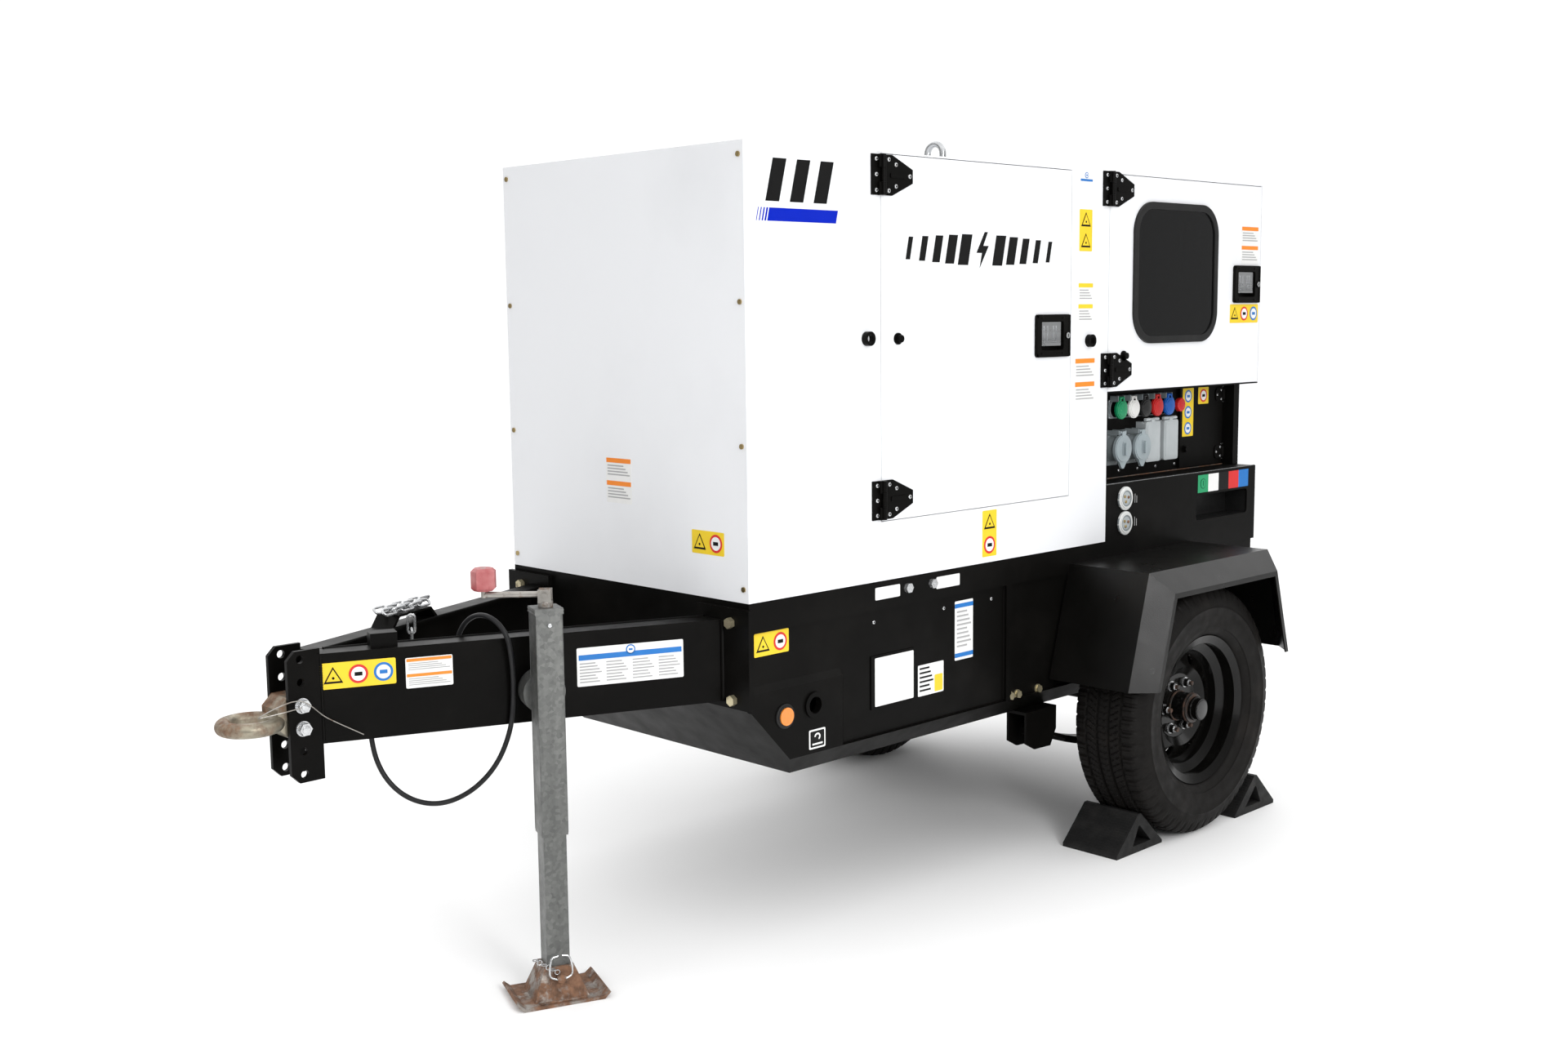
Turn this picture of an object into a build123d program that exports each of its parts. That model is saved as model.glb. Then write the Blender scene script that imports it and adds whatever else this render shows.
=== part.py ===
from build123d import *
import os
from math import cos, hypot, pi, radians, sin, sqrt, tan

# Towable diesel generator: an enclosed generating set on a single-axle trailer.
# Millimetres. -X is the towing direction, -Y the side with the control door, +Z up.
# The origin is on the ground, under the middle of the whole machine.

os.makedirs("parts", exist_ok=True)

# ---------------------------------------------------------------- driving dimensions
HALF_WIDTH = 446.5            # half the width of canopy and base
CANOPY_FRONT = -570.0
CANOPY_REAR = 1595.0
CANOPY_BASE = 815.0           # top of the base frame
CANOPY_TOP = 1830.0
SHEET = 3.0                   # canopy and door sheet
ROOF_SHEET = 4.0
ROOF_UNDER = CANOPY_TOP - ROOF_SHEET

ENGINE_BAY = (-133.0, 620.0, 958.0, 1826.0)      # door opening: x0, x1, z0, z1
CONTROL_BAY = (792.0, 1592.0, 1231.0, 1826.0)
DOOR_GAP = 2.0
DOOR_DEPTH = 22.0
HINGE_OFFSET = 10.5           # hinge pin stands this far out of the door's face
HINGE_HEIGHTS_ENGINE = (1011.0, 1776.0)
HINGE_HEIGHTS_CONTROL = (1292.0, 1784.0)
HINGE_LEAF = 110.0
HINGE_PLATE = 33.0
HINGE_TALL = 94.0
BUMPER_HEIGHT = 14.0

LATCH_SIZE = (148.0, 112.0)   # bezel width and height
LATCH_ENGINE = (536.0, 1391.0)                   # centre x, z
LATCH_CONTROL = (1508.0, 1530.0)

WINDOW = (907.0, 1339.0, 1362.0, 1757.0)         # outside of the rubber frame
WINDOW_CORNER = 88.0
WINDOW_RUBBER = 20.0

RECESS_BACK = -345.0          # front face of the outlet panel
RECESS = (795.0, 1592.0, 973.0, 1228.0)
CABLE_SLOT = (1257.0, 1545.0, 830.0, 905.0)
INLET_X = 884.0
INLET_HEIGHTS = (859.0, 929.0)
CAMLOCK_FIRST = 962.0
CAMLOCK_PITCH = 61.5
CAMLOCK_HEIGHT = 1174.0
CAMLOCK_LID = 28.0            # radius
CAMLOCK_PIN = 33.0            # hinge pin above the centre
CAMLOCK_FRONT = 28.5          # back of the closed lid, off the outlet panel
CAMLOCK_COLOURS = ("green", "white", "black", "red", "blue")
ESTOP = (1262.0, 1174.0)
TWISTLOCK_X = (945.0, 1043.0)
TWISTLOCK_HEIGHT = 1062.0
TWISTLOCK_LID = 41.0          # radius
TWISTLOCK_FRONT = 45.0
GFCI_X = (1124.0, 1219.0)
GFCI_HEIGHT = 1072.0
GFCI_SIZE = (76.0, 118.0)
GFCI_FRONT = 22.5
LID_DROP = 6.0                # hinge pin above the edge of a lid
TERMINAL_DOOR = (1306.0, 1548.0, 980.0, 1222.0)

WHEEL_X = 929.5
WHEEL_RADIUS = 350.0
RIM_CENTRE_Y = 592.5
TYRE_WIDTH = 225.0
RIM_FLANGE_RADIUS = 208.0
RIM_WIDTH = 178.0
BEAD_RADIUS = 190.5
WELL_RADIUS = 161.0              # inside of the rim's drop centre
NUT_CIRCLE = 139.7            # six wheel nuts
AXLE_RADIUS = 31.0
SPRING_INNER = 380.0          # leaf springs lie between these distances from the middle
SPRING_OUTER = 430.0
SPRING_LOW = 212.0            # lowest face of a spring
SPRING_CURVE = 0.00052        # its rise per square millimetre of run
SPRING_HALF = 415.0
SPRING_EYE = 325.0            # height of the eyes
SEAT_HEIGHT = 245.0           # top of the spring under the axle
CLAMP_WIDTH = (366.0, 442.0)
SPINDLE_RADIUS = 17.0
SPINDLE_PLAY = 0.05

BASE_BOTTOM = 384.0
BASE_NOSE = 568.0             # height where the slanted nose starts
BASE_SLANT = 172.0            # length of the slanted nose
RAIL_BOTTOM = 745.0
PANEL_DEPTH = 10.5            # side panels lie this far inside the rails
TIE_DOWN = (-366.0, 551.0)
TIE_DOWN_RADIUS = 20.0
MARKER_LIGHT = (-462.0, 541.0)

DRAWBAR_FRONT = (-1410.0, -45.0)
DRAWBAR_REAR = (-582.0, -368.5)
DRAWBAR_HEIGHTS = (584.0, 773.0)
CHANNEL_FLANGE = 60.0
CHANNEL_WALL = 6.0
COUPLER_X = (-1476.0, -1402.0)
COUPLER_HEIGHTS = (510.0, 785.0)
COUPLER_PLATE = 10.0
COUPLER_HOLE_X = -1447.0
COUPLER_HOLE_CENTRE = 647.5
COUPLER_PITCH = 48.0
COUPLER_HOLE_RADIUS = 8.5
EYE_X = -1540.0
EYE_HEIGHT = 640.0
EYE_BORE = 38.1               # ring for a 60 mm pintle hook
EYE_BAR = 15.6
EYE_LAND = 0.7                # flat worn on the inside of the ring

JACK_ALONG = 460.0            # distance along the near drawbar member
JACK_OUT = 90.0               # distance out of its face
JACK_PIVOT_HEIGHT = 660.0
PIPE_STUB = 54.0              # length of the pipe that the jack swings on
JACK_TUBE = 57.0
JACK_LEG = 50.0
JACK_TOP = 850.0
JACK_TUBE_BOTTOM = 360.0
CRANK_ARM = 128.0
CRANK_TURN = 22.0             # angle of the arm from the drawbar, degrees

CABLE_DIAMETER = 11.0
CABLE_START_BOX = 300.0       # places of the two cable boxes along the near member
CABLE_END_BOX = 112.0
CHAIN_PITCH = 30.5
CHAIN_RISE = 10.5             # middle of a lying chain above what it lies on

FENDER_TOP = 771.0
FENDER_FEET = ((540.0, 465.0), (1320.0, 475.0))  # front and rear x, z
FENDER_TOP_X = (628.0, 1230.0)
FENDER_OUTER = -755.0
FENDER_BEVEL = (55.0, 53.0)   # across, down
FENDER_LIP = 14.0
FENDER_SHEET = 4.0

BAIL_BAR = 9.5
BAIL_X = 585.0
BAIL_HEIGHT = 105.0
FAN_HEIGHT = 1180.0
ENGINE_STUD = (-73.0, 1394.0) # x, z of the door bumpers
ENGINE_SOCKET = (-182.0, 1396.0)
CONTROL_STUD = (866.0, 1330.0)
CONTROL_SOCKET = (702.0, 1375.0)

CHOCK_WIDTH = 176.0
CHOCK_HEIGHT = 105.0


# ---------------------------------------------------------------- shape helpers
def block(x0, x1, y0, y1, z0, z1):
    """Box between two corners."""
    centre = Pos((x0 + x1) / 2, (y0 + y1) / 2, (z0 + z1) / 2)
    return centre * Box(abs(x1 - x0), abs(y1 - y0), abs(z1 - z0))


def rod(axis, radius, start, end, u, v):
    """Cylinder along X, Y or Z from start to end; u, v are its other two coordinates."""
    middle = (start + end) / 2
    length = abs(end - start)
    places = {"X": (middle, u, v), "Y": (u, middle, v), "Z": (u, v, middle)}
    turns = {"X": (0, 90, 0), "Y": (90, 0, 0), "Z": (0, 0, 0)}
    return Pos(*places[axis]) * Rot(*turns[axis]) * Cylinder(radius, length)


def ring(axis, outer, inner, start, end, u, v):
    """Tube along an axis."""
    return rod(axis, outer, start, end, u, v) - rod(axis, inner, start - 1, end + 1, u, v)


def prism_xz(points, y0, y1):
    """Outline in X and Z, solid from y0 to y1."""
    plane = Plane(origin=(0, y1, 0), x_dir=(1, 0, 0), z_dir=(0, -1, 0))
    face = plane * make_face(Polyline(*points, close=True))
    return extrude(face, amount=y1 - y0, dir=(0, -1, 0))


def prism_yz(points, x0, x1):
    """Outline in Y and Z, solid from x0 to x1."""
    plane = Plane(origin=(x0, 0, 0), x_dir=(0, 1, 0), z_dir=(1, 0, 0))
    face = plane * make_face(Polyline(*points, close=True))
    return extrude(face, amount=x1 - x0, dir=(1, 0, 0))


def prism_xy(points, z0, z1):
    """Outline in X and Y, solid from z0 to z1."""
    face = Pos(0, 0, z0) * make_face(Polyline(*points, close=True))
    return extrude(face, amount=z1 - z0, dir=(0, 0, 1))


def rounded_xz(x0, x1, z0, z1, corner, y0, y1):
    """Plate with round corners, solid from y0 to y1."""
    plane = Plane(origin=((x0 + x1) / 2, y1, (z0 + z1) / 2), x_dir=(1, 0, 0), z_dir=(0, -1, 0))
    face = plane * RectangleRounded(x1 - x0, z1 - z0, corner)
    return extrude(face, amount=y1 - y0, dir=(0, -1, 0))


def hex_head(axis, across, start, end, u, v):
    """Hexagonal bolt head or nut along an axis."""
    middle = (start + end) / 2
    head = extrude(RegularPolygon(across / sqrt(3), 6), amount=abs(end - start) / 2, both=True)
    places = {"X": (middle, u, v), "Y": (u, middle, v), "Z": (u, v, middle)}
    turns = {"X": (0, 90, 0), "Y": (90, 0, 0), "Z": (0, 0, 0)}
    return Pos(*places[axis]) * Rot(*turns[axis]) * head


def far(shape):
    """The same piece on the other side of the machine."""
    return mirror(shape, about=Plane.XZ)


def spun(outline):
    """Ring made by turning an outline of (y, radius) points about the Y axis."""
    face = Plane.YZ * make_face(Polyline(*outline, close=True))
    return revolve(face, axis=Axis.Y)


def save(name, *solids):
    """Write one named node, as one solid or a group of separate solids."""
    shape = solids[0] if len(solids) == 1 else Compound(children=list(solids))
    export_step(shape, f"parts/{name}.step")


# ---------------------------------------------------------------- drawbar frame
# Local frame of the near drawbar member: x along it, y up, z out of its outer face.
DRAWBAR_RUN = (DRAWBAR_REAR[0] - DRAWBAR_FRONT[0], DRAWBAR_REAR[1] - DRAWBAR_FRONT[1])
DRAWBAR_LENGTH = hypot(*DRAWBAR_RUN)
ALONG = (DRAWBAR_RUN[0] / DRAWBAR_LENGTH, DRAWBAR_RUN[1] / DRAWBAR_LENGTH, 0)
OUTWARD = (ALONG[1], -ALONG[0], 0)
MEMBER = Plane(origin=(*DRAWBAR_FRONT, 0), x_dir=ALONG, z_dir=OUTWARD).location


def on_member(s, height, out):
    """Machine coordinates of a place given along the member, up, and out of its face."""
    x = DRAWBAR_FRONT[0] + ALONG[0] * s + OUTWARD[0] * out
    y = DRAWBAR_FRONT[1] + ALONG[1] * s + OUTWARD[1] * out
    return (x, y, height)


# ---------------------------------------------------------------- canopy
def panel_opening(bay):
    x0, x1, z0, z1 = bay
    return block(x0, x1, -HALF_WIDTH - 1, -HALF_WIDTH + 60, z0, z1)


def door_jamb(bay):
    """Folded return round a door opening, which the door seals against."""
    x0, x1, z0, z1 = bay
    inner_face = -HALF_WIDTH + SHEET
    outside = block(x0 - SHEET, x1 + SHEET, inner_face, inner_face + 28, z0 - SHEET, z1)
    stop = block(x0, x1, inner_face + 25, inner_face + 28, z0, z1)
    window = block(x0 + 16, x1 - 16, inner_face + 24, inner_face + 29, z0 + 16, z1 - 16)
    return outside - block(x0, x1, inner_face - 1, inner_face + 29, z0, z1) + (stop - window)


def near_side_panel():
    inner = -HALF_WIDTH + SHEET
    panel = block(CANOPY_FRONT + SHEET, CONTROL_BAY[0], -HALF_WIDTH, inner, CANOPY_BASE, ROOF_UNDER)
    panel -= panel_opening(ENGINE_BAY)
    panel += door_jamb(ENGINE_BAY)
    pillar_return = block(CONTROL_BAY[0] - SHEET, CONTROL_BAY[0], inner, inner + 28,
                          CANOPY_BASE, ROOF_UNDER)
    return panel + pillar_return


def far_side_panel():
    inner = -HALF_WIDTH + SHEET
    panel = block(CANOPY_FRONT + SHEET, CANOPY_REAR - SHEET, -HALF_WIDTH, inner,
                  CANOPY_BASE, ROOF_UNDER)
    panel -= panel_opening(ENGINE_BAY)
    return far(panel + door_jamb(ENGINE_BAY))


def front_panel():
    return block(CANOPY_FRONT, CANOPY_FRONT + SHEET, -HALF_WIDTH, HALF_WIDTH, CANOPY_BASE, ROOF_UNDER)


def roof_panel():
    """Roof sheet with discharge slots over the radiator and a hole for the lifting bail."""
    roof = block(CANOPY_FRONT, CANOPY_REAR, -HALF_WIDTH, HALF_WIDTH, ROOF_UNDER, CANOPY_TOP)
    for row in range(14):
        x = CANOPY_FRONT + 55 + 24 * row
        for side in (-1, 1):
            roof -= block(x, x + 12, side * 15, side * 300, ROOF_UNDER - 1, CANOPY_TOP + 1)
    for y in (-28, 28):
        roof -= rod("Z", BAIL_BAR + 1.5, ROOF_UNDER - 1, CANOPY_TOP + 1, BAIL_X, y)
    return roof


def rear_panel():
    """Rear sheet with the air intake slots, notched where the outlet recess reaches the corner."""
    panel = block(CANOPY_REAR - SHEET, CANOPY_REAR, -HALF_WIDTH, HALF_WIDTH, CANOPY_BASE, ROOF_UNDER)
    panel -= block(CANOPY_REAR - 5, CANOPY_REAR + 1, -HALF_WIDTH - 1, -384, RECESS[2], RECESS[3])
    for row in range(12):
        z = 1240 + 42 * row
        for side in (-1, 1):
            panel -= block(CANOPY_REAR - 5, CANOPY_REAR + 1, side * 20, side * 350, z, z + 16)
    return panel


def lifting_frame():
    """Bulkhead behind the engine bay with the roof beam that carries the lifting bail."""
    bulkhead = block(640, 643, -440, 440, CANOPY_BASE, 1822)
    beam = block(555, 640, -70, 70, 1752, 1822)
    half = 28.0
    top = CANOPY_TOP + BAIL_HEIGHT - BAIL_BAR - half
    route = Line((BAIL_X, -half, 1800), (BAIL_X, -half, top))
    arch = ThreePointArc((BAIL_X, -half, top), (BAIL_X, 0, top + half), (BAIL_X, half, top))
    back = Line((BAIL_X, half, top), (BAIL_X, half, 1800))
    section = Plane(origin=(BAIL_X, -half, 1800), z_dir=(0, 0, 1)) * Circle(BAIL_BAR)
    bail = sweep(section, path=Wire([route, arch, back]))
    return bulkhead + beam + bail


def outlet_cabinet():
    """Black liner of the outlet recess, with the lower panel for the cable slot and inlets."""
    x0, x1, z0, z1 = RECESS
    back = block(x0, x1, RECESS_BACK, RECESS_BACK + SHEET, CANOPY_BASE, z1 + SHEET)
    ceiling = block(x0, x1, -HALF_WIDTH, RECESS_BACK, z1, z1 + SHEET)
    shelf = block(x0, x1, -HALF_WIDTH, RECESS_BACK, z0 - SHEET, z0)
    side = block(x0 - SHEET, x0, -HALF_WIDTH, RECESS_BACK + SHEET, CANOPY_BASE, z1 + SHEET)
    lower = block(x0, x1, -HALF_WIDTH, -HALF_WIDTH + SHEET, CANOPY_BASE, z0)
    post = block(x1 - 30, x1, -384, RECESS_BACK, z0, z1)
    cabinet = back + ceiling + shelf + side + lower + post
    slot = rounded_xz(*CABLE_SLOT, 12, -HALF_WIDTH - 1, -HALF_WIDTH + 10)
    cabinet -= slot
    for z in INLET_HEIGHTS:
        cabinet -= rod("Y", 27.2, -HALF_WIDTH - 1, -HALF_WIDTH + 10, INLET_X, z)
    return cabinet


# ---------------------------------------------------------------- doors
def door_pan(bay):
    """Pan-shaped door: a face sheet with folded edges."""
    x0, x1, z0, z1 = bay
    x0, x1, z0, z1 = x0 + DOOR_GAP, x1 - DOOR_GAP, z0 + DOOR_GAP, z1 - DOOR_GAP
    back = -HALF_WIDTH + DOOR_DEPTH
    pan = block(x0, x1, -HALF_WIDTH, back, z0, z1)
    return pan - block(x0 + SHEET, x1 - SHEET, -HALF_WIDTH + SHEET, back + 1, z0 + SHEET, z1 - SHEET)


def latch_hole(centre):
    x, z = centre
    return block(x - 59, x + 49, -HALF_WIDTH - 1, -HALF_WIDTH + 10, z - 43, z + 43)


def door_engine():
    return door_pan(ENGINE_BAY) - latch_hole(LATCH_ENGINE)


def door_control():
    x0, x1, z0, z1 = WINDOW
    rebate = 8.0
    opening = rounded_xz(x0 + rebate, x1 - rebate, z0 + rebate, z1 - rebate,
                         WINDOW_CORNER - rebate, -HALF_WIDTH - 1, -HALF_WIDTH + 10)
    return door_pan(CONTROL_BAY) - latch_hole(LATCH_CONTROL) - opening


def window_seal():
    """Rubber frame that grips the door sheet outside and holds the glass inside."""
    x0, x1, z0, z1 = WINDOW
    face = -HALF_WIDTH
    outer = rounded_xz(x0, x1, z0, z1, WINDOW_CORNER, face - 7, face - 0.05)
    rebate = 8.2
    plug = rounded_xz(x0 + rebate, x1 - rebate, z0 + rebate, z1 - rebate,
                      WINDOW_CORNER - rebate, face - 1, face + 6)
    inset = WINDOW_RUBBER
    hole = rounded_xz(x0 + inset, x1 - inset, z0 + inset, z1 - inset,
                      WINDOW_CORNER - inset, face - 10, face + 10)
    return outer + plug - hole


def window_glass():
    x0, x1, z0, z1 = WINDOW
    inset = WINDOW_RUBBER + 0.05
    return rounded_xz(x0 + inset, x1 - inset, z0 + inset, z1 - inset,
                      WINDOW_CORNER - inset, -HALF_WIDTH - 3, -HALF_WIDTH + 2)


def hinge_knuckle(x, z0, z1, bore):
    y = -HALF_WIDTH - HINGE_OFFSET
    knuckle = rod("Z", 6.0, z0, z1, x, y)
    if bore:
        knuckle -= rod("Z", 3.05, z0 - 1, z1 + 1, x, y)
    return knuckle


def hinge_fixed(x, z):
    """Plate on the canopy with two knuckles and the pin."""
    face = -HALF_WIDTH
    low = z - HINGE_TALL / 2
    high = z + HINGE_TALL / 2
    part = block(x - 1 - HINGE_PLATE, x - 1, face - 4, face, low, high)
    for z0, z1 in ((low, low + 30), (high - 30, high)):
        part += hinge_knuckle(x, z0, z1, False)
        part += block(x - 14, x, face - HINGE_OFFSET, face - 3.9, z0, z1)
    return part + rod("Z", 3.0, low, high, x, face - HINGE_OFFSET)


def hinge_leaf(x, z):
    """Tapered leaf on the door with the middle knuckle."""
    face = -HALF_WIDTH
    low = z - HINGE_TALL / 2
    high = z + HINGE_TALL / 2
    root = x + 3
    tip = x + HINGE_LEAF
    outline = [(root, low), (root + 34, low), (tip, z - 16), (tip, z + 16), (root + 34, high), (root, high)]
    leaf = prism_xz(outline, face - 4, face)
    middle = (low + 30.5, high - 30.5)
    web = block(x, x + 14, face - HINGE_OFFSET, face - 3.9, *middle)
    web -= rod("Z", 3.05, middle[0] - 1, middle[1] + 1, x, face - HINGE_OFFSET)
    return leaf + hinge_knuckle(x, *middle, True) + web


def bumper_stud(x, z):
    """Ribbed stud on a door that pushes into the rubber socket when the door is held open."""
    face = -HALF_WIDTH
    stud = rod("Y", 14, face - 4, face, x, z)
    for step in range(3):
        stud += rod("Y", 9, face - BUMPER_HEIGHT + 3 * step, face - BUMPER_HEIGHT + 3 * step + 2, x, z)
    return stud + rod("Y", 7, face - BUMPER_HEIGHT, face, x, z)


def bumper_socket(x, z):
    face = -HALF_WIDTH
    return ring("Y", 17, 10, face - BUMPER_HEIGHT, face, x, z)


def latch_bezel(centre):
    """Surround and dish of a paddle latch, with its lock cylinder."""
    x, z = centre
    half_x = LATCH_SIZE[0] / 2
    half_z = LATCH_SIZE[1] / 2
    face = -HALF_WIDTH
    bezel = rounded_xz(x - half_x, x + half_x, z - half_z, z + half_z, 9, face - 7, face)
    bezel += block(x - 58, x + 48, face - 1, face + 18, z - 42, z + 42)
    bezel -= rounded_xz(x - 54, x + 44, z - 38, z + 38, 8, face - 10, face + 15)
    return bezel + rod("Y", 9, face - 10, face - 6, x + 60, z)


def latch_paddle(centre):
    """Steel paddle in the dish; its top edge is the pivot."""
    x, z = centre
    face = -HALF_WIDTH
    paddle = block(x - 46, x + 36, face - 3, face + 1, z - 26, z + 36)
    paddle += block(x - 38, x + 28, face - 8, face - 3, z - 26, z - 20)
    return paddle + rod("X", 4, x - 46, x + 36, face + 1, z + 32)


def door_fittings(bay, hinge_heights, latch, stud):
    pieces = [hinge_leaf(bay[0] + 1, z) for z in hinge_heights]
    return pieces + [bumper_stud(*stud), latch_bezel(latch)]


def door_frame_fittings():
    """Fixed hinge plates and rubber sockets of all three doors."""
    engine = [hinge_fixed(ENGINE_BAY[0] + 1, z) for z in HINGE_HEIGHTS_ENGINE]
    engine.append(bumper_socket(*ENGINE_SOCKET))
    control = [hinge_fixed(CONTROL_BAY[0] + 1, z) for z in HINGE_HEIGHTS_CONTROL]
    control.append(bumper_socket(*CONTROL_SOCKET))
    return engine + control + [far(piece) for piece in engine]


# ---------------------------------------------------------------- outlets
def outlet_bodies():
    """Fixed bodies of the camlock, twist-lock and duplex outlets, stop switch and inlets."""
    face = RECESS_BACK
    bodies = []
    for index in range(len(CAMLOCK_COLOURS)):
        x = CAMLOCK_FIRST + CAMLOCK_PITCH * index
        body = block(x - 28, x + 28, face - 6, face, CAMLOCK_HEIGHT - 28, CAMLOCK_HEIGHT + 28)
        barrel = ring("Y", 24, 12, face - 28, face - 5, x, CAMLOCK_HEIGHT)
        pin_height = CAMLOCK_HEIGHT + CAMLOCK_PIN
        ear = block(x - 5, x + 5, face - 36, face - 6, pin_height - 12, pin_height + 2)
        ear -= rod("X", 7.5, x - 6, x + 6, face - 32, pin_height)
        bodies.append(body + barrel + ear)
    for x in TWISTLOCK_X:
        bodies.append(twistlock_body(x))
    for x in GFCI_X:
        bodies.append(duplex_body(x))
    x, z = ESTOP
    bodies.append(rod("Y", 21, face - 8, face, x, z) + ring("Y", 14, 9, face - 24, face - 7, x, z))
    for z in INLET_HEIGHTS:
        bodies.append(power_inlet(z))
    return bodies


def twistlock_body(x):
    """Plate and sleeve of one twist-lock outlet, with two lugs beside its lid's pin."""
    face = RECESS_BACK
    pin_height = TWISTLOCK_HEIGHT + TWISTLOCK_LID + LID_DROP
    body = block(x - 40, x + 40, face - 5, face, TWISTLOCK_HEIGHT - 50, TWISTLOCK_HEIGHT + 50)
    body += ring("Y", 36, 30, face - TWISTLOCK_FRONT + 1, face - 4, x, TWISTLOCK_HEIGHT)
    for side in (-1, 1):
        body += block(x + side * 15, x + side * 19, face - TWISTLOCK_FRONT - 5, face - 4,
                      pin_height - 6, pin_height + 6)
    return body


def duplex_body(x):
    face = RECESS_BACK
    half_x = GFCI_SIZE[0] / 2
    half_z = GFCI_SIZE[1] / 2
    box = block(x - half_x, x + half_x, face - 22, face, GFCI_HEIGHT - half_z, GFCI_HEIGHT + half_z)
    box -= block(x - half_x + 4, x + half_x - 4, face - 23, face - 8,
                 GFCI_HEIGHT - half_z + 4, GFCI_HEIGHT + half_z - 4)
    for z in (GFCI_HEIGHT - 20, GFCI_HEIGHT + 20):
        box += rod("Y", 17, face - 18, face - 7, x, z)
    return box


def power_inlet(z):
    """Flanged inlet in the lower panel, with its pins in a sleeve."""
    face = -HALF_WIDTH
    inlet = rod("Y", 33.5, face - 5, face, INLET_X, z)
    inlet += rod("Y", 27, face - 8, face + 40, INLET_X, z)
    inlet -= rod("Y", 23, face - 10, face + 30, INLET_X, z)
    for turn in range(3):
        angle = radians(90 + 120 * turn)
        x = INLET_X + 12 * cos(angle)
        inlet += rod("Y", 2.5, face + 8, face + 31, x, z + 12 * sin(angle))
    return inlet


def flip_cover(x, hinge_height, half_x, half_z, depth, front):
    """Spring cover hung from a pin at its top; front is how far its back stands off the panel."""
    face = RECESS_BACK - front
    centre = hinge_height - half_z - LID_DROP
    if half_x == half_z:
        lid = rod("Y", half_x, face - depth, face, x, centre)
    else:
        lid = rounded_xz(x - half_x, x + half_x, centre - half_z, centre + half_z, 8, face - depth, face)
    neck = block(x - 9, x + 9, face - depth, face - 0.5, centre + half_z - 6, hinge_height)
    return lid + neck + rod("X", 4, x - 14, x + 14, face - depth / 2, hinge_height)


def camlock_cover(index):
    """Round flip cover of one camlock outlet, forked round the ear of its body."""
    x = CAMLOCK_FIRST + CAMLOCK_PITCH * index
    face = RECESS_BACK - CAMLOCK_FRONT
    pin_height = CAMLOCK_HEIGHT + CAMLOCK_PIN
    lid = rod("Y", CAMLOCK_LID, face - 7, face, x, CAMLOCK_HEIGHT)
    lid -= block(x - 5.6, x + 5.6, face - 8, face + 1, pin_height - 13, pin_height + 4)
    for side in (-1, 1):
        lid += block(x + side * 6, x + side * 12, face - 7, face, pin_height - 16, pin_height)
    return lid + rod("X", 3.5, x - 12, x + 12, face - 3.5, pin_height)


def twistlock_cover(x):
    pin_height = TWISTLOCK_HEIGHT + TWISTLOCK_LID + LID_DROP
    return flip_cover(x, pin_height, TWISTLOCK_LID, TWISTLOCK_LID, 9, TWISTLOCK_FRONT)


def gfci_cover(x):
    half_x = GFCI_SIZE[0] / 2
    half_z = GFCI_SIZE[1] / 2
    return flip_cover(x, GFCI_HEIGHT + half_z + LID_DROP, half_x, half_z, 12, GFCI_FRONT)


def estop_button():
    x, z = ESTOP
    face = RECESS_BACK
    head = rod("Y", 20.5, face - 40, face - 31, x, z)
    return head + rod("Y", 8.9, face - 32, face - 14, x, z)


def terminal_door():
    """Small door over the output terminals, hinged at its rear edge."""
    x0, x1, z0, z1 = TERMINAL_DOOR
    face = RECESS_BACK - 6.5
    door = block(x0, x1 - 6, face - SHEET, face, z0, z1)
    for edge in (z0, z1 - SHEET):
        door += block(x0, x1 - 8, face, face + 6, edge, edge + SHEET)
    door += block(x0, x0 + SHEET, face, face + 6, z0, z1)
    for z in (z0 + 20, z1 - 44):
        door += block(x1 - 8, x1, face - SHEET, face, z, z + 30)
        door += rod("Z", 4, z, z + 30, x1, face - 4.5)
    knob_x = x0 + 26
    knob_height = z0 + 55
    door += hex_head("Y", 17, face - 14, face - SHEET, knob_x, knob_height)
    return door + rod("Y", 11, face - 6, face - SHEET, knob_x, knob_height)


def control_box():
    """Control cabinet behind the window, with display, start switch plate and breaker."""
    box = block(880, 1366, -415, -300, 1300, 1790)
    box -= block(884, 1362, -411, -304, 1304, 1786)
    box += block(884, 1362, -414, -411, 1304, 1786)
    box += block(960, 1150, -420, -415, 1590, 1710)
    box += block(1190, 1300, -424, -415, 1570, 1720)
    for x in (980, 1040, 1100):
        box += rod("Y", 11, -426, -415, x, 1540)
    return box + block(980, 1250, -422, -415, 1370, 1480)


# ---------------------------------------------------------------- base frame
def base_outline(inset):
    """Side view of the base, pulled in by an inset along every lower edge."""
    nose_x = CANOPY_FRONT + inset
    tail_x = CANOPY_REAR - SHEET - inset
    slope = (BASE_NOSE - BASE_BOTTOM) / BASE_SLANT
    steep = sqrt(1 + slope * slope)
    nose = BASE_NOSE + inset * (steep - slope)
    corner = BASE_SLANT + inset * (steep - 1) / slope
    low = BASE_BOTTOM + inset
    high = CANOPY_BASE + (50 if inset else 0)
    return [(nose_x, high), (nose_x, nose), (CANOPY_FRONT + corner, low),
            (CANOPY_REAR - SHEET - corner, low), (tail_x, nose), (tail_x, high)]


def base_section(inset):
    """Cross-section of the base with its slanted lower flanges."""
    wide = HALF_WIDTH - inset
    low = BASE_BOTTOM + (4 if inset else 0)
    high = CANOPY_BASE + 60
    return [(-wide, high), (-wide, low + 52), (-wide + 52, low), (wide - 52, low),
            (wide, low + 52), (wide, high)]


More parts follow.
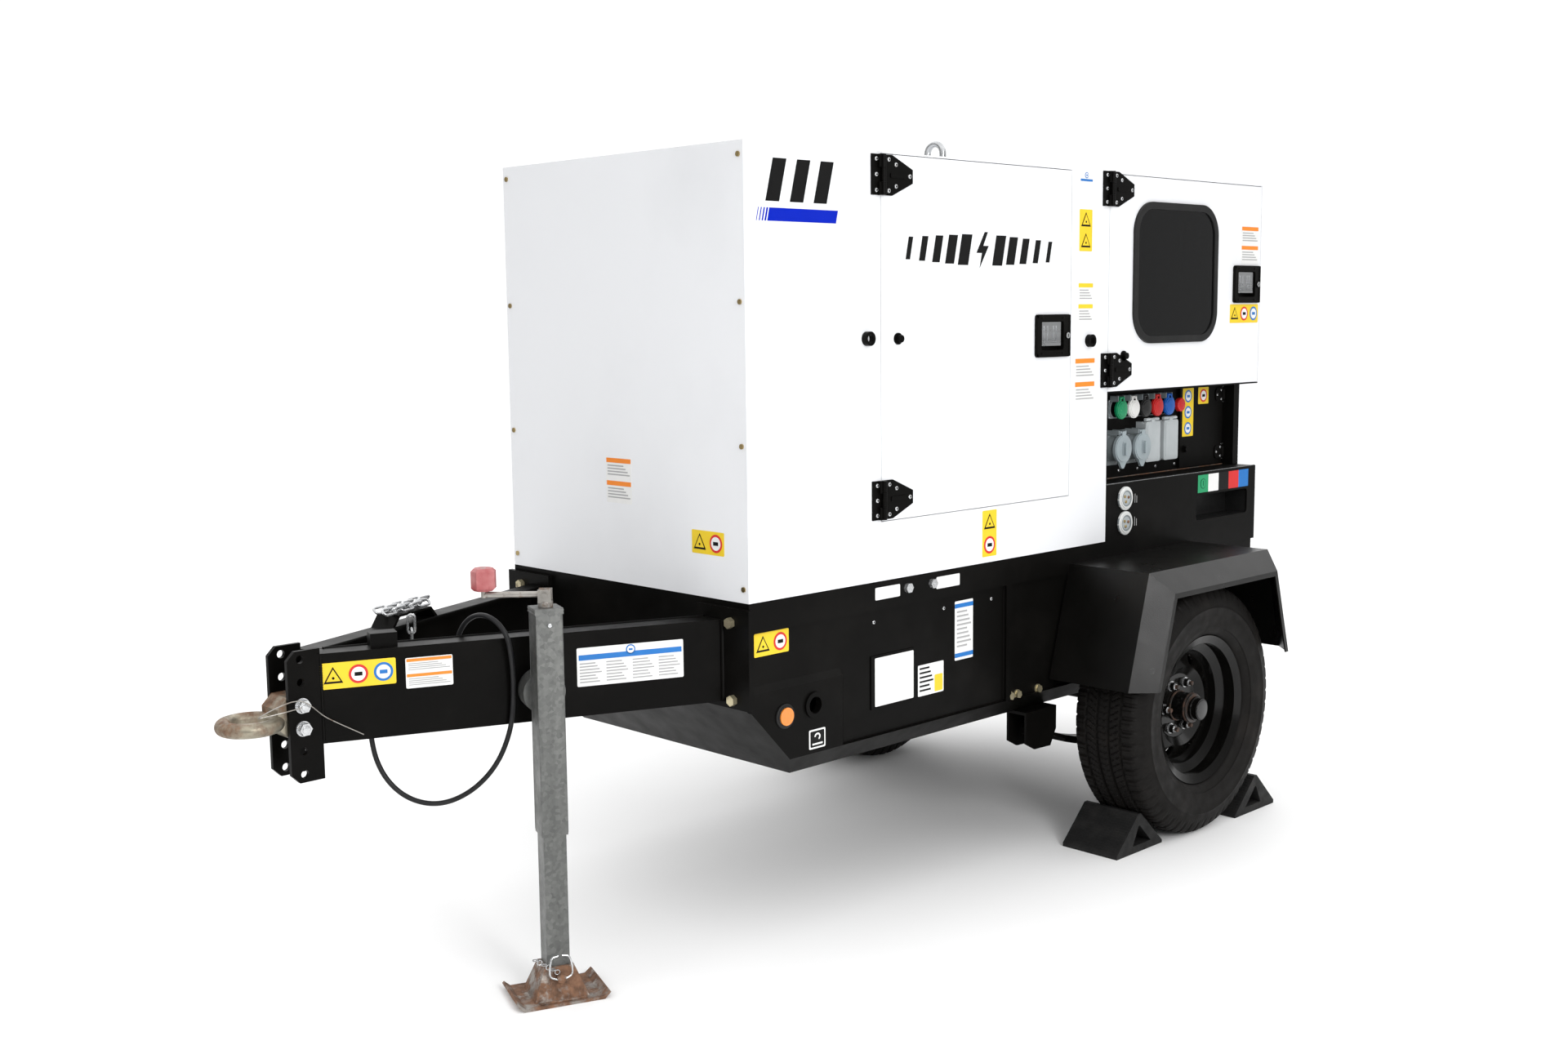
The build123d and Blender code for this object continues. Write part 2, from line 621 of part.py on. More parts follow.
def base_side_details():
    """Raised pieces on the near side: rail, corner boxes, post, tie-down ring and label plate."""
    outer = -HALF_WIDTH
    panel = outer + PANEL_DEPTH
    rear = CANOPY_REAR - SHEET
    pieces = block(CANOPY_FRONT, rear, outer, panel + 1, RAIL_BOTTOM, CANOPY_BASE)
    for x0, x1 in ((CANOPY_FRONT + 4, -270), (1294, rear - 4)):
        ledge = [(outer, 436), (outer, 606), (panel + 1, 624), (panel + 1, 436)]
        pieces += prism_yz(ledge, x0, x1)
    pieces += block(352, 374, outer, panel + 1, 436, RAIL_BOTTOM)
    pieces += block(-162, -5, panel - 3, panel + 1, 500, 632)
    return pieces


def base_frame():
    """Tray-shaped base with rails, a slanted nose and tail, and two engine cross-members."""
    outer = prism_xz(base_outline(0), -HALF_WIDTH, HALF_WIDTH)
    outer &= prism_yz(base_section(0), CANOPY_FRONT - 5, CANOPY_REAR + 5)
    outer -= recessed_sides()
    inner = prism_xz(base_outline(4), -HALF_WIDTH, HALF_WIDTH)
    inner &= prism_yz(base_section(PANEL_DEPTH + 4), CANOPY_FRONT - 5, CANOPY_REAR + 5)
    tray = outer - inner
    details = base_side_details() & prism_xz(base_outline(0), -HALF_WIDTH, HALF_WIDTH)
    tray += details
    tray += far(details)
    for x in (-250, 330):
        tray += block(x, x + 60, -HALF_WIDTH + 12, HALF_WIDTH - 12, 785, CANOPY_BASE)
    for side in (-1, 1):
        x, z = TIE_DOWN
        tray += rod("Y", 31, side * (HALF_WIDTH + 5), side * (HALF_WIDTH - 14), x, z)
        tray -= rod("Y", TIE_DOWN_RADIUS, side * (HALF_WIDTH + 10), side * (HALF_WIDTH - 30), x, z)
    return tray


def recessed_sides():
    """Material taken off both sides so that the panels lie inside the rails."""
    cut = block(CANOPY_FRONT - 5, CANOPY_REAR + 5, -HALF_WIDTH - 5, -HALF_WIDTH + PANEL_DEPTH,
                BASE_BOTTOM + 52, CANOPY_BASE + 5)
    return cut + far(cut)


def fuel_tank():
    tank = block(-200, 1250, -395, 395, 440, 690)
    tank = fillet(tank.edges().filter_by(Axis.Z), 40)
    return tank + rod("Z", 30, 689, 740, 900, 300) + rod("Z", 38, 740, 760, 900, 300)


# ---------------------------------------------------------------- drawbar
def channel(length, low, high):
    """C-channel with its web on the outer face and flanges pointing in."""
    web = block(0, length, low, high, -CHANNEL_WALL, 0)
    top = block(0, length, high - CHANNEL_WALL, high, -CHANNEL_FLANGE, 0)
    bottom = block(0, length, low, low + CHANNEL_WALL, -CHANNEL_FLANGE, 0)
    return web + top + bottom


def coupler_plate():
    """Upright plate with six bolt holes that holds the tow eye at a choice of heights."""
    x0, x1 = COUPLER_X
    low, high = COUPLER_HEIGHTS
    cut = 18.0
    outline = [(x0 + cut, low), (x1, low), (x1, high), (x0 + cut, high), (x0, high - cut), (x0, low + cut)]
    plate = prism_xz(outline, DRAWBAR_FRONT[1], DRAWBAR_FRONT[1] + COUPLER_PLATE)
    for z in coupler_hole_heights():
        plate -= rod("Y", COUPLER_HOLE_RADIUS, -60, -20, COUPLER_HOLE_X, z)
    return plate


def coupler_hole_heights():
    return [COUPLER_HOLE_CENTRE + COUPLER_PITCH * (step - 2.5) for step in range(6)]


def drawbar_member():
    """One side of the A-frame with its rear flange plate and coupler plate."""
    member = MEMBER * channel(DRAWBAR_LENGTH + 60, *DRAWBAR_HEIGHTS)
    member &= block(COUPLER_X[1] - 12, CANOPY_FRONT - 12, -600, -2, 500, 900)
    flange = block(CANOPY_FRONT - 12, CANOPY_FRONT, -458, -285, 572, 802)
    gusset = prism_xy([(-1402, -2), (-1402, -42), (-1305, -80), (-1305, -2)], 590, 598)
    return member + flange + coupler_plate() + gusset


def jack_pipe():
    """Pipe stub welded to the near member that the jack swings on."""
    return MEMBER * rod("Z", 30, -1, PIPE_STUB, JACK_ALONG, JACK_PIVOT_HEIGHT)


def chain_saddle():
    """Raised plate on the far member that the safety chains lie over."""
    legs = [(250, 773), (275, 800), (395, 800), (420, 773), (410, 773), (390, 795), (280, 795), (260, 773)]
    return far(MEMBER * extrude(make_face(Polyline(*legs, close=True)), amount=-58))


def tow_eye():
    """Forged ring on a shank that is bolted between the coupler plates."""
    middle = EYE_BORE + EYE_BAR - EYE_LAND
    torus = Pos(EYE_X, 0, EYE_HEIGHT) * Torus(middle, EYE_BAR)
    shank = block(EYE_X + 45, COUPLER_X[1] - 2, -34.5, 34.5, 606, 690)
    shank = chamfer(shank.edges().filter_by(Axis.Y).group_by(Axis.X)[0], 22)
    neck = block(EYE_X + 42, EYE_X + 90, -22, 22, EYE_HEIGHT - 13, EYE_HEIGHT + 13)
    eye = torus + shank + neck
    eye -= rod("Z", EYE_BORE, EYE_HEIGHT - 60, EYE_HEIGHT + 60, EYE_X, 0)
    for z in coupler_hole_heights()[2:4]:
        eye -= rod("Y", COUPLER_HOLE_RADIUS, -60, 60, COUPLER_HOLE_X, z)
    return eye


def fasteners():
    """Coupler bolts, drawbar flange bolts, front panel screws and base drain plugs."""
    pieces = []
    for z in coupler_hole_heights()[2:4]:
        bolt = rod("Y", COUPLER_HOLE_RADIUS - 0.5, -60, 60, COUPLER_HOLE_X, z)
        for side in (-1, 1):
            bolt += rod("Y", 16, side * 45, side * 48, COUPLER_HOLE_X, z)
            bolt += hex_head("Y", 24, side * 48, side * 60, COUPLER_HOLE_X, z)
        pieces.append(bolt)
    for side in (-1, 1):
        for y, z in ((400, 769), (405, 592)):
            pieces.append(hex_head("X", 22, CANOPY_FRONT - 24, CANOPY_FRONT - 12, side * y, z))
        for z in (846, 1166, 1483, 1800):
            pieces.append(rod("X", 6, CANOPY_FRONT - 3, CANOPY_FRONT, side * 431, z))
    for x in (-39, 53):
        pieces.append(hex_head("Y", 22, -HALF_WIDTH - 10, -HALF_WIDTH, x, 787))
    return pieces


# ---------------------------------------------------------------- jack
def jack_tube():
    """Outer tube with its pipe sleeve, top cap, pull pin and screw shaft guide."""
    half = JACK_TUBE / 2
    inner = half - 3
    stub_end = PIPE_STUB + 0.5 - JACK_OUT
    tube = block(-half, half, JACK_TUBE_BOTTOM, JACK_TOP, -half, half)
    tube += block(-half - 2, half + 2, JACK_TOP - 12, JACK_TOP, -half - 2, half + 2)
    tube += rod("Z", 46, 14 - JACK_OUT, -inner - 1, 0, JACK_PIVOT_HEIGHT)
    tube -= block(-inner, inner, JACK_TUBE_BOTTOM - 1, JACK_TOP - 3, -inner, inner)
    tube -= rod("Z", 30.08, 13 - JACK_OUT, stub_end, 0, JACK_PIVOT_HEIGHT)
    pin_out = 38 - JACK_OUT
    pin = rod("Y", 9, JACK_PIVOT_HEIGHT + 40, JACK_PIVOT_HEIGHT + 72, 0, pin_out)
    pin += rod("Y", 4, JACK_PIVOT_HEIGHT + 71, JACK_PIVOT_HEIGHT + 92, 0, pin_out)
    pin += rod("X", 5, -18, 18, JACK_PIVOT_HEIGHT + 92, pin_out)
    return MEMBER * Pos(JACK_ALONG, 0, JACK_OUT) * (tube + pin)


def jack_leg():
    """Inner leg with its foot: a plate with upturned ends under a trapezoid skirt."""
    half = JACK_LEG / 2
    leg = block(-half, half, 6, 590, -half, half)
    leg -= block(-half + 4, half - 4, 60, 591, -half + 4, half - 4)
    foot = block(-88, 88, 0, 6, -72, 72)
    for side in (-1, 1):
        end = [(side * 82, 0), (side * 88, 0), (side * 102, 14), (side * 98, 18), (side * 84, 6)]
        foot += extrude(make_face(Polyline(*end, close=True)), amount=72, both=True)
    skirt_low = Pos(0, 5, 0) * Rot(90, 0, 0) * Rectangle(120, 100)
    skirt_high = Pos(0, 72, 0) * Rot(90, 0, 0) * Rectangle(66, 62)
    skirt = loft([skirt_low, skirt_high])
    bolt = rod("Z", 7, -43, 43, 0, 52)
    return MEMBER * Pos(JACK_ALONG, 0, JACK_OUT) * (leg + foot + skirt + bolt)


def crank_end():
    """Place of the crank's grip in the jack's own frame, along and out of the member."""
    angle = radians(CRANK_TURN)
    return (-CRANK_ARM * cos(angle), -CRANK_ARM * sin(angle))


def jack_crank():
    """Crank with a clevis on the jack's head, a level arm and an upright spindle for the grip."""
    hub = rod("Y", 16, JACK_TOP + 0.5, JACK_TOP + 12, 0, 0)
    fork = block(-14, 14, JACK_TOP + 10, JACK_TOP + 38, -14, 14)
    fork -= block(-30, 30, JACK_TOP + 16, JACK_TOP + 40, -8, 8)
    bolt = rod("Z", 5, -18, 18, 0, JACK_TOP + 27)
    arm = rod("X", 6.5, -CRANK_ARM, 12, JACK_TOP + 27, 0)
    spindle = rod("Y", 5.9, JACK_TOP + 21, JACK_TOP + 84, -CRANK_ARM, 0)
    turned = Rot(0, -CRANK_TURN, 0) * (hub + fork + bolt + arm + spindle)
    return MEMBER * Pos(JACK_ALONG, 0, JACK_OUT) * turned


def jack_knob():
    """Octagonal grip that turns on the crank's spindle."""
    along, out = crank_end()
    grip = extrude(RegularPolygon(27, 8), amount=24, both=True)
    grip = chamfer(grip.edges().group_by(Axis.Z)[0] + grip.edges().group_by(Axis.Z)[-1], 6)
    grip -= Cylinder(6, 60)
    placed = Pos(along, JACK_TOP + 60, out) * Rot(90, 0, 0) * grip
    return MEMBER * Pos(JACK_ALONG, 0, JACK_OUT) * placed


# ---------------------------------------------------------------- running gear
def at_wheel(shape):
    return Pos(WHEEL_X, -RIM_CENTRE_Y, WHEEL_RADIUS) * shape


def tyre():
    """Trailer tyre with straight grooves; y is measured from the middle of the rim."""
    half = TYRE_WIDTH / 2
    crown = WHEEL_RADIUS
    lip = RIM_FLANGE_RADIUS + 1.5
    side = [(-72, BEAD_RADIUS + 1), (-79.5, lip), (-93, lip + 3), (-106, 238), (-half, 268), (-110, 298),
            (-101, 322), (-90, 338)]
    tread = [(-84, crown - 4)]
    for y in (-54, -18, 18, 54):
        tread += [(y - 5, crown), (y - 4, crown - 8), (y + 4, crown - 8), (y + 5, crown)]
    tread.append((84, crown - 4))
    inner = [(62, BEAD_RADIUS + 1), (66, 218), (90, 244), (97, 270), (92, 305), (78, 332), (-78, 332),
             (-92, 305), (-97, 270), (-90, 244), (-66, 218), (-62, BEAD_RADIUS + 1)]
    outline = side + tread + [(-y, r) for y, r in reversed(side)] + inner
    return at_wheel(spun(outline))


def barrel():
    """Rolled barrel of the steel rim; negative y is the outside."""
    edge = RIM_WIDTH / 2
    outline = [(-edge, RIM_FLANGE_RADIUS), (-edge + 8, RIM_FLANGE_RADIUS), (-edge + 14, BEAD_RADIUS),
               (-48, BEAD_RADIUS), (-34, WELL_RADIUS + 5), (20, WELL_RADIUS + 5), (44, BEAD_RADIUS),
               (edge - 14, BEAD_RADIUS), (edge - 8, RIM_FLANGE_RADIUS), (edge, RIM_FLANGE_RADIUS),
               (edge - 10, BEAD_RADIUS - 5), (46, BEAD_RADIUS - 5), (22, WELL_RADIUS), (-33, WELL_RADIUS),
               (-46, BEAD_RADIUS - 5), (-edge + 10, BEAD_RADIUS - 5)]
    return spun(outline)


def disc():
    """Dished disc pressed into the barrel's well, with eight round vents."""
    outline = [(-8, WELL_RADIUS), (-2, WELL_RADIUS), (-2, 150), (-20, 112), (-2, 92), (-2, 42), (-8, 42),
               (-8, 90), (-27, 112), (-8, 152)]
    plate = spun(outline)
    for turn in range(8):
        plate -= Rot(0, 45 * turn + 22.5, 0) * rod("Y", 15, -60, 30, 0, 132)
    return plate


def hub():
    """Hub that runs on the spindle, with six nuts and the grease cap."""
    body = rod("Y", 86, -1.5, 14, 0, 0) + rod("Y", 40, -62, 70, 0, 0) + rod("Y", 30, -88, -60, 0, 0)
    for turn in range(6):
        nut = hex_head("Y", 21, -24, -8.5, NUT_CIRCLE / 2, 0) + rod("Y", 6, -30, 0, NUT_CIRCLE / 2, 0)
        body += Rot(0, 60 * turn, 0) * nut
    return body - rod("Y", SPINDLE_RADIUS + SPINDLE_PLAY, -70, 80, 0, 0)


def wheel():
    """The barrel, and the disc with the hub bolted to it, as two solids that touch."""
    return [at_wheel(barrel()), at_wheel(disc() + hub())]


def axle():
    """Tube across the machine with a spindle at each end and a seat on each leaf spring."""
    beam = rod("Y", AXLE_RADIUS, -SPRING_OUTER, SPRING_OUTER, WHEEL_X, WHEEL_RADIUS)
    seat = block(WHEEL_X - 40, WHEEL_X + 40, SPRING_INNER, SPRING_OUTER, SEAT_HEIGHT, WHEEL_RADIUS - 20)
    seat += block(WHEEL_X - 60, WHEEL_X + 60, *CLAMP_WIDTH, SEAT_HEIGHT, SEAT_HEIGHT + 8)
    beam += rod("Y", SPINDLE_RADIUS, -656, 656, WHEEL_X, WHEEL_RADIUS)
    return beam + seat + far(seat)


def spring_height(run):
    """Height of the lower face of the spring, at a distance along X from the axle."""
    return SPRING_LOW + SPRING_CURVE * run * run


def leaf_spring():
    """Three leaves under the axle, with eyes on the longest, a clamp plate and four bolts."""
    pitch = SPRING_HALF / 10
    upper = [(pitch * step, 32) for step in range(10, -11, -1)]
    lower = []
    for first, last, rise in ((-10, -7, 22), (-7, -4, 12), (-4, 4, 2), (4, 7, 12), (7, 10, 22)):
        lower += [(pitch * step, rise) for step in range(first, last + 1)]
    outline = [(WHEEL_X + run, spring_height(run) + rise) for run, rise in lower + upper]
    leaves = prism_xz(outline, SPRING_INNER, SPRING_OUTER)
    for side in (-1, 1):
        leaves += rod("Y", 19, SPRING_INNER, SPRING_OUTER, WHEEL_X + side * SPRING_HALF, SPRING_EYE)
    leaves += block(WHEEL_X - 60, WHEEL_X + 60, *CLAMP_WIDTH, SPRING_LOW - 12, SPRING_LOW + 3)
    for side in (-1, 1):
        for y in (CLAMP_WIDTH[0] + 7, CLAMP_WIDTH[1] - 6):
            leaves += rod("Z", 5, SPRING_LOW - 24, SEAT_HEIGHT - 0.5, WHEEL_X + side * 51, y)
    return leaves


def spring_hanger():
    """Bracket under the base that holds a spring's front eye between two cheeks."""
    eye_x = WHEEL_X - SPRING_HALF
    outline = [(eye_x - 64, BASE_BOTTOM), (eye_x - 64, 298), (eye_x - 25, 277), (eye_x + 45, 275),
               (eye_x + 70, 320), (eye_x + 70, BASE_BOTTOM)]
    bracket = prism_xz(outline, SPRING_INNER - 8, SPRING_INNER - 2)
    bracket += prism_xz(outline, SPRING_OUTER + 2, SPRING_OUTER + 8)
    bracket += block(eye_x - 64, eye_x + 70, SPRING_INNER - 60, SPRING_OUTER + 8, BASE_BOTTOM - 8, BASE_BOTTOM)
    return bracket


def suspension():
    """Springs and hangers of both sides; the rear hangers mirror the front ones."""
    hanger = spring_hanger()
    rear = Pos(2 * WHEEL_X, 0, 0) * mirror(hanger, about=Plane.YZ)
    side = [leaf_spring(), hanger, rear]
    return side + [far(piece) for piece in side]


def fender_outline(inset, drop=0.0):
    """Arch of the fender from front foot to rear foot, moved inwards and run on down past its feet."""
    corners = []
    for foot, top_x in zip(FENDER_FEET, FENDER_TOP_X):
        run = (top_x - foot[0]) / (FENDER_TOP - foot[1])
        shift = inset * sqrt(1 + run * run) * (1 if run > 0 else -1)
        rise = FENDER_TOP - inset - foot[1]
        low = (foot[0] + shift - run * drop, foot[1] - drop)
        corners.append((low, (foot[0] + shift + run * rise, FENDER_TOP - inset)))
    return [corners[0][0], corners[0][1], corners[1][1], corners[1][0]]


def fender_body(inset, drop):
    """Solid under a skin of the fender: full height by the canopy, bevelled at the outer edge."""
    across, down = FENDER_BEVEL
    outer = FENDER_OUTER + inset
    main = prism_xz(fender_outline(inset, drop), outer + across, -HALF_WIDTH + (1 if inset else 0))
    faces = []
    for y, extra in ((outer + across, inset), (outer, inset + down)):
        plane = Plane(origin=(0, y, 0), x_dir=(1, 0, 0), z_dir=(0, -1, 0))
        faces.append(plane * make_face(Polyline(*fender_outline(extra, drop), close=True)))
    return main + loft(faces, ruled=True)


def fender():
    """Folded sheet fender with a bevelled outer edge that ends in a short lip."""
    mouth = prism_xz(fender_outline(FENDER_BEVEL[1] + FENDER_LIP, 40), FENDER_OUTER - 5, FENDER_OUTER + 30)
    return fender_body(0, 0) - fender_body(FENDER_SHEET, 40) - mouth


def chock(gap):
    """Rubber wheel chock in front of the wheel, with a triangular hole along its width."""
    toe = WHEEL_X - 155.5 - gap
    heel = toe - 215
    peak = toe - 104
    outline = [(heel, 0), (toe, 0), (toe, 8), (peak, CHOCK_HEIGHT), (peak - 12, CHOCK_HEIGHT), (heel, 10)]
    hole = [(heel + 74, 20), (toe - 55, 20), (peak - 4, 72), (peak - 10, 72)]
    return prism_xz(outline, -CHOCK_WIDTH / 2, CHOCK_WIDTH / 2) - prism_xz(hole, -100, 100)


def chock_front():
    return Pos(0, -571.5, 0) * chock(0)


def chock_rear():
    turned = Pos(WHEEL_X, 0, 0) * Rot(0, 0, 180) * Pos(-WHEEL_X, 0, 0) * chock(20)
    return Pos(0, -601.5, 0) * turned


# ---------------------------------------------------------------- lights, chains, cable
def lights():
    """Amber marker lights at the front corners and red tail lights at the back."""
    pieces = []
    for side in (-1, 1):
        x, z = MARKER_LIGHT
        pieces.append(rod("Y", 28, side * HALF_WIDTH, side * (HALF_WIDTH + 3), x, z)
                      + rod("Y", 21, side * HALF_WIDTH, side * (HALF_WIDTH + 9), x, z))
        tail = block(CANOPY_REAR - SHEET, CANOPY_REAR + 8, side * 270, side * 410, 750, 800)
        pieces.append(tail + block(CANOPY_REAR + 7, CANOPY_REAR + 13.5, side * 276, side * 404, 756, 794))
    return pieces


def chain_link():
    """One welded link lying along X, 46 mm long inside a 6 mm bar."""
    half = 13.0
    reach = 8.0
    path = [Line((-half, -reach, 0), (half, -reach, 0)),
            ThreePointArc((half, -reach, 0), (half + reach, 0, 0), (half, reach, 0)),
            Line((half, reach, 0), (-half, reach, 0)),
            ThreePointArc((-half, reach, 0), (-half - reach, 0, 0), (-half, -reach, 0))]
    section = Plane(origin=(0, -reach, 0), z_dir=(1, 0, 0)) * Circle(3)
    return sweep(section, path=Wire(path))


def safety_chains():
    """Two chains laid along the far member's saddle plate, then hanging inside it."""
    link = chain_link()
    links = []
    for row, out in enumerate((-46, -16)):
        for step in range(5 + row):
            place = Pos(258 + row * 8 + CHAIN_PITCH * step, 800 + CHAIN_RISE, out)
            links.append(place * Rot(45 + 90 * (step % 2), 0, 0) * link)
    for step in range(6):
        place = Pos(300, 777 - CHAIN_PITCH * step, -72)
        links.append(place * Rot(0, 0, 90) * Rot(45 + 90 * (step % 2), 0, 0) * link)
    return [far(MEMBER * piece) for piece in links]


def breakaway_switch():
    """Breakaway box on the near member's top, and the two cable boxes hung inside the member."""
    low, high = DRAWBAR_HEIGHTS
    top_box = block(112, 168, high, high + 30, -55, -14) + rod("Z", 9, -56, -70, 140, high + 14)
    pieces = [top_box]
    for s, z0, z1, out in ((CABLE_END_BOX, 640, 720, -80), (CABLE_START_BOX, 612, 690, -95)):
        box = block(s - 28, s + 28, z0, z1, out - 24, out + 18)
        bracket = block(s - 20, s + 20, z0 + 20, z0 + 26, out + 18, -CHANNEL_WALL)
        pieces.append(box + bracket)
    return [MEMBER * piece for piece in pieces]


# Route of the lighting cable: along the near member, height, and out of its face.
CABLE_ROUTE = (
    (300, 690, -95), (304, 752, -95), (326, 812, -66), (360, 826, -16), (392, 790, 24), (402, 722, 24),
    (404, 648, 18), (397, 572, 12), (366, 496, 4), (312, 440, -10), (246, 414, -28), (182, 430, -48),
    (135, 480, -68), (113, 556, -80), (112, 640, -80))


def trailer_cable():
    """Free lighting cable: out of one box, over the member, down and back up to the other box."""
    points = [Vector(*on_member(*point)) for point in CABLE_ROUTE]
    radii = []
    for before, corner, after in zip(points, points[1:], points[2:]):
        first = corner - before
        second = after - corner
        turn = radians(first.get_angle(second))
        radii.append(0.45 * min(first.length, second.length) / tan(turn / 2))
    print("cable radii", [round(radius) for radius in radii])
    path = FilletPolyline(*points, radius=radii)
    section = Plane(origin=points[0], z_dir=points[1] - points[0]) * Circle(CABLE_DIAMETER / 2)
    cable = sweep(section, path=path)
    expected = pi * CABLE_DIAMETER ** 2 / 4 * path.length
    print("cable length", round(path.length), "volume ratio", round(cable.volume / expected, 4))
    return cable


# ---------------------------------------------------------------- engine bay
def engine():
    """Four-cylinder block with sump, valve cover, manifold, air cleaner and feet."""
    block_body = block(-370, 150, -130, 130, 930, 1220)
    sump = prism_xz([(-350, 930), (-350, 850), (-60, 835), (130, 860), (130, 930)], -100, 100)
    cover = fillet(block(-350, 130, -70, 70, 1219, 1300).edges().filter_by(Axis.X), 18)
    body = block_body + sump + cover
    for step in range(4):
        x = -310 + 120 * step
        body += rod("Y", 24, 125, 200, x, 1180)
        body += rod("Z", 22, 1299, 1312, x, 0)
    body += rod("X", 34, -340, 100, 205, 1180)
    body += rod("X", 80, -330, -30, -230, 1400) + rod("X", 60, -30, 20, -230, 1400)
    body += block(-200, -170, -230, -100, 1200, 1330) + rod("X", 46, -260, -180, -185, 1000)
    for x in (-235, 105):
        body += block(x, x + 40, -200, -129, 940, 1000) + block(x, x + 40, 129, 200, 940, 1000)
        for side in (-1, 1):
            body += block(x, x + 40, side * 160, side * 200, CANOPY_BASE, 941)
    return body


def alternator():
    """Generator end bolted to the engine, with its terminal box and feet."""
    body = rod("X", 180, 151, 560, 0, 1040) + rod("X", 150, 560, 600, 0, 1040)
    body += block(260, 500, -130, 130, 1200, 1310)
    for side in (-1, 1):
        body += block(330, 390, side * 90, side * 200, CANOPY_BASE, 960)
    return body


def radiator():
    """Radiator core with tanks and the fan shroud."""
    core = block(-530, -470, -300, 300, 900, 1500)
    tanks = block(-540, -460, -310, 310, 1500, 1560) + block(-540, -460, -310, 310, CANOPY_BASE, 900)
    shroud = block(-470, -400, -300, 300, 900, 1500) - block(-471, -399, -290, 290, 910, 1490)
    shroud += block(-404, -400, -300, 300, 900, 1500)
    shroud -= rod("X", 262, -420, -390, 0, FAN_HEIGHT)
    return core + tanks + shroud


def cooling_fan():
    """Six-blade fan with its pulley, driven from the front of the engine."""
    fan = rod("X", 45, -440, -385, 0, FAN_HEIGHT) + rod("X", 62, -384, -374, 0, FAN_HEIGHT)
    fan += rod("X", 20, -386, -371, 0, FAN_HEIGHT)
    blade = Pos(-415, 0, 145) * Rot(0, 0, 32) * Box(5, 70, 210)
    for turn in range(6):
        fan += Pos(0, 0, FAN_HEIGHT) * Rot(60 * turn, 0, 0) * blade
    return fan


def silencer():
    """Exhaust silencer over the engine with its elbow and tail pipe."""
    can = rod("X", 95, -150, 480, 150, 1560)
    pipe = rod("Z", 30, 1225, 1500, 100, 205)
    return can + pipe + rod("X", 30, -320, -140, 150, 1560) + rod("Z", 30, 1560, 1760, -300, 150)


def battery():
    case = block(450, 610, -408, -238, 830, 1040)
    case += block(454, 606, -404, -242, 1039, 1050)
    return case + rod("Z", 9, 1049, 1066, 480, -370) + rod("Z", 9, 1049, 1066, 580, -370)


# ---------------------------------------------------------------- write the nodes
def write_canopy():
    save("front_panel", front_panel())
    save("roof_panel", roof_panel())
    save("near_side_panel", near_side_panel())
    save("far_side_panel", far_side_panel())
    save("rear_panel", rear_panel())
    save("lifting_frame", lifting_frame())
    save("outlet_cabinet", outlet_cabinet())
    save("door_frame_fittings", *door_frame_fittings())


def write_doors():
    engine_fittings = door_fittings(ENGINE_BAY, HINGE_HEIGHTS_ENGINE, LATCH_ENGINE, ENGINE_STUD)
    control_fittings = door_fittings(CONTROL_BAY, HINGE_HEIGHTS_CONTROL, LATCH_CONTROL, CONTROL_STUD)
    save("door_engine", door_engine())
    save("door_engine_fittings", *engine_fittings)
    save("latch_paddle_engine", latch_paddle(LATCH_ENGINE))
    save("door_control", door_control())
    save("door_control_fittings", *control_fittings)
    save("latch_paddle_control", latch_paddle(LATCH_CONTROL))
    save("window_seal", window_seal())
    save("window_glass", window_glass())
    save("door_service", far(door_engine()))
    save("door_service_fittings", *[far(piece) for piece in engine_fittings])
    save("latch_paddle_service", far(latch_paddle(LATCH_ENGINE)))


def write_outlets():
    save("control_box", control_box())
    save("outlet_bodies", *outlet_bodies())
    for index, colour in enumerate(CAMLOCK_COLOURS):
        save(f"camlock_cover_{colour}", camlock_cover(index))
    for name, x in zip(("front", "rear"), TWISTLOCK_X):
        save(f"twistlock_cover_{name}", twistlock_cover(x))
    for name, x in zip(("front", "rear"), GFCI_X):
        save(f"gfci_cover_{name}", gfci_cover(x))
    save("estop_button", estop_button())
    save("terminal_door", terminal_door())


def write_frame():
    save("base_frame", base_frame())
    save("fuel_tank", fuel_tank())
    save("drawbar_near", drawbar_member() + jack_pipe())
    save("drawbar_far", far(drawbar_member()) + chain_saddle())
    save("tow_eye", tow_eye())
    save("fasteners", *fasteners())
    save("jack_tube", jack_tube())
    save("jack_leg", jack_leg())
    save("jack_crank", jack_crank())
    save("jack_knob", jack_knob())


def write_running_gear():
    save("axle", axle(), *suspension())
    save("fenders", fender(), far(fender()))
    save("tyre_near", tyre())
    save("wheel_near", *wheel())
    save("tyre_far", far(tyre()))
    save("wheel_far", *[far(piece) for piece in wheel()])
    save("chock_front", chock_front())
    save("chock_rear", chock_rear())


def write_small_parts():
    save("lights", *lights())
    save("safety_chains", *safety_chains())
    save("breakaway_switch", *breakaway_switch())
    save("trailer_cable", trailer_cable())


def write_engine_bay():
    save("engine", engine())
    save("alternator", alternator())
    save("radiator", radiator())
    save("cooling_fan", cooling_fan())
    save("silencer", silencer())
    save("battery", battery())


write_canopy()
write_doors()
write_outlets()
write_frame()
write_running_gear()
write_small_parts()
write_engine_bay()
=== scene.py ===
import math

import bmesh
import bpy
from mathutils import Matrix, Vector


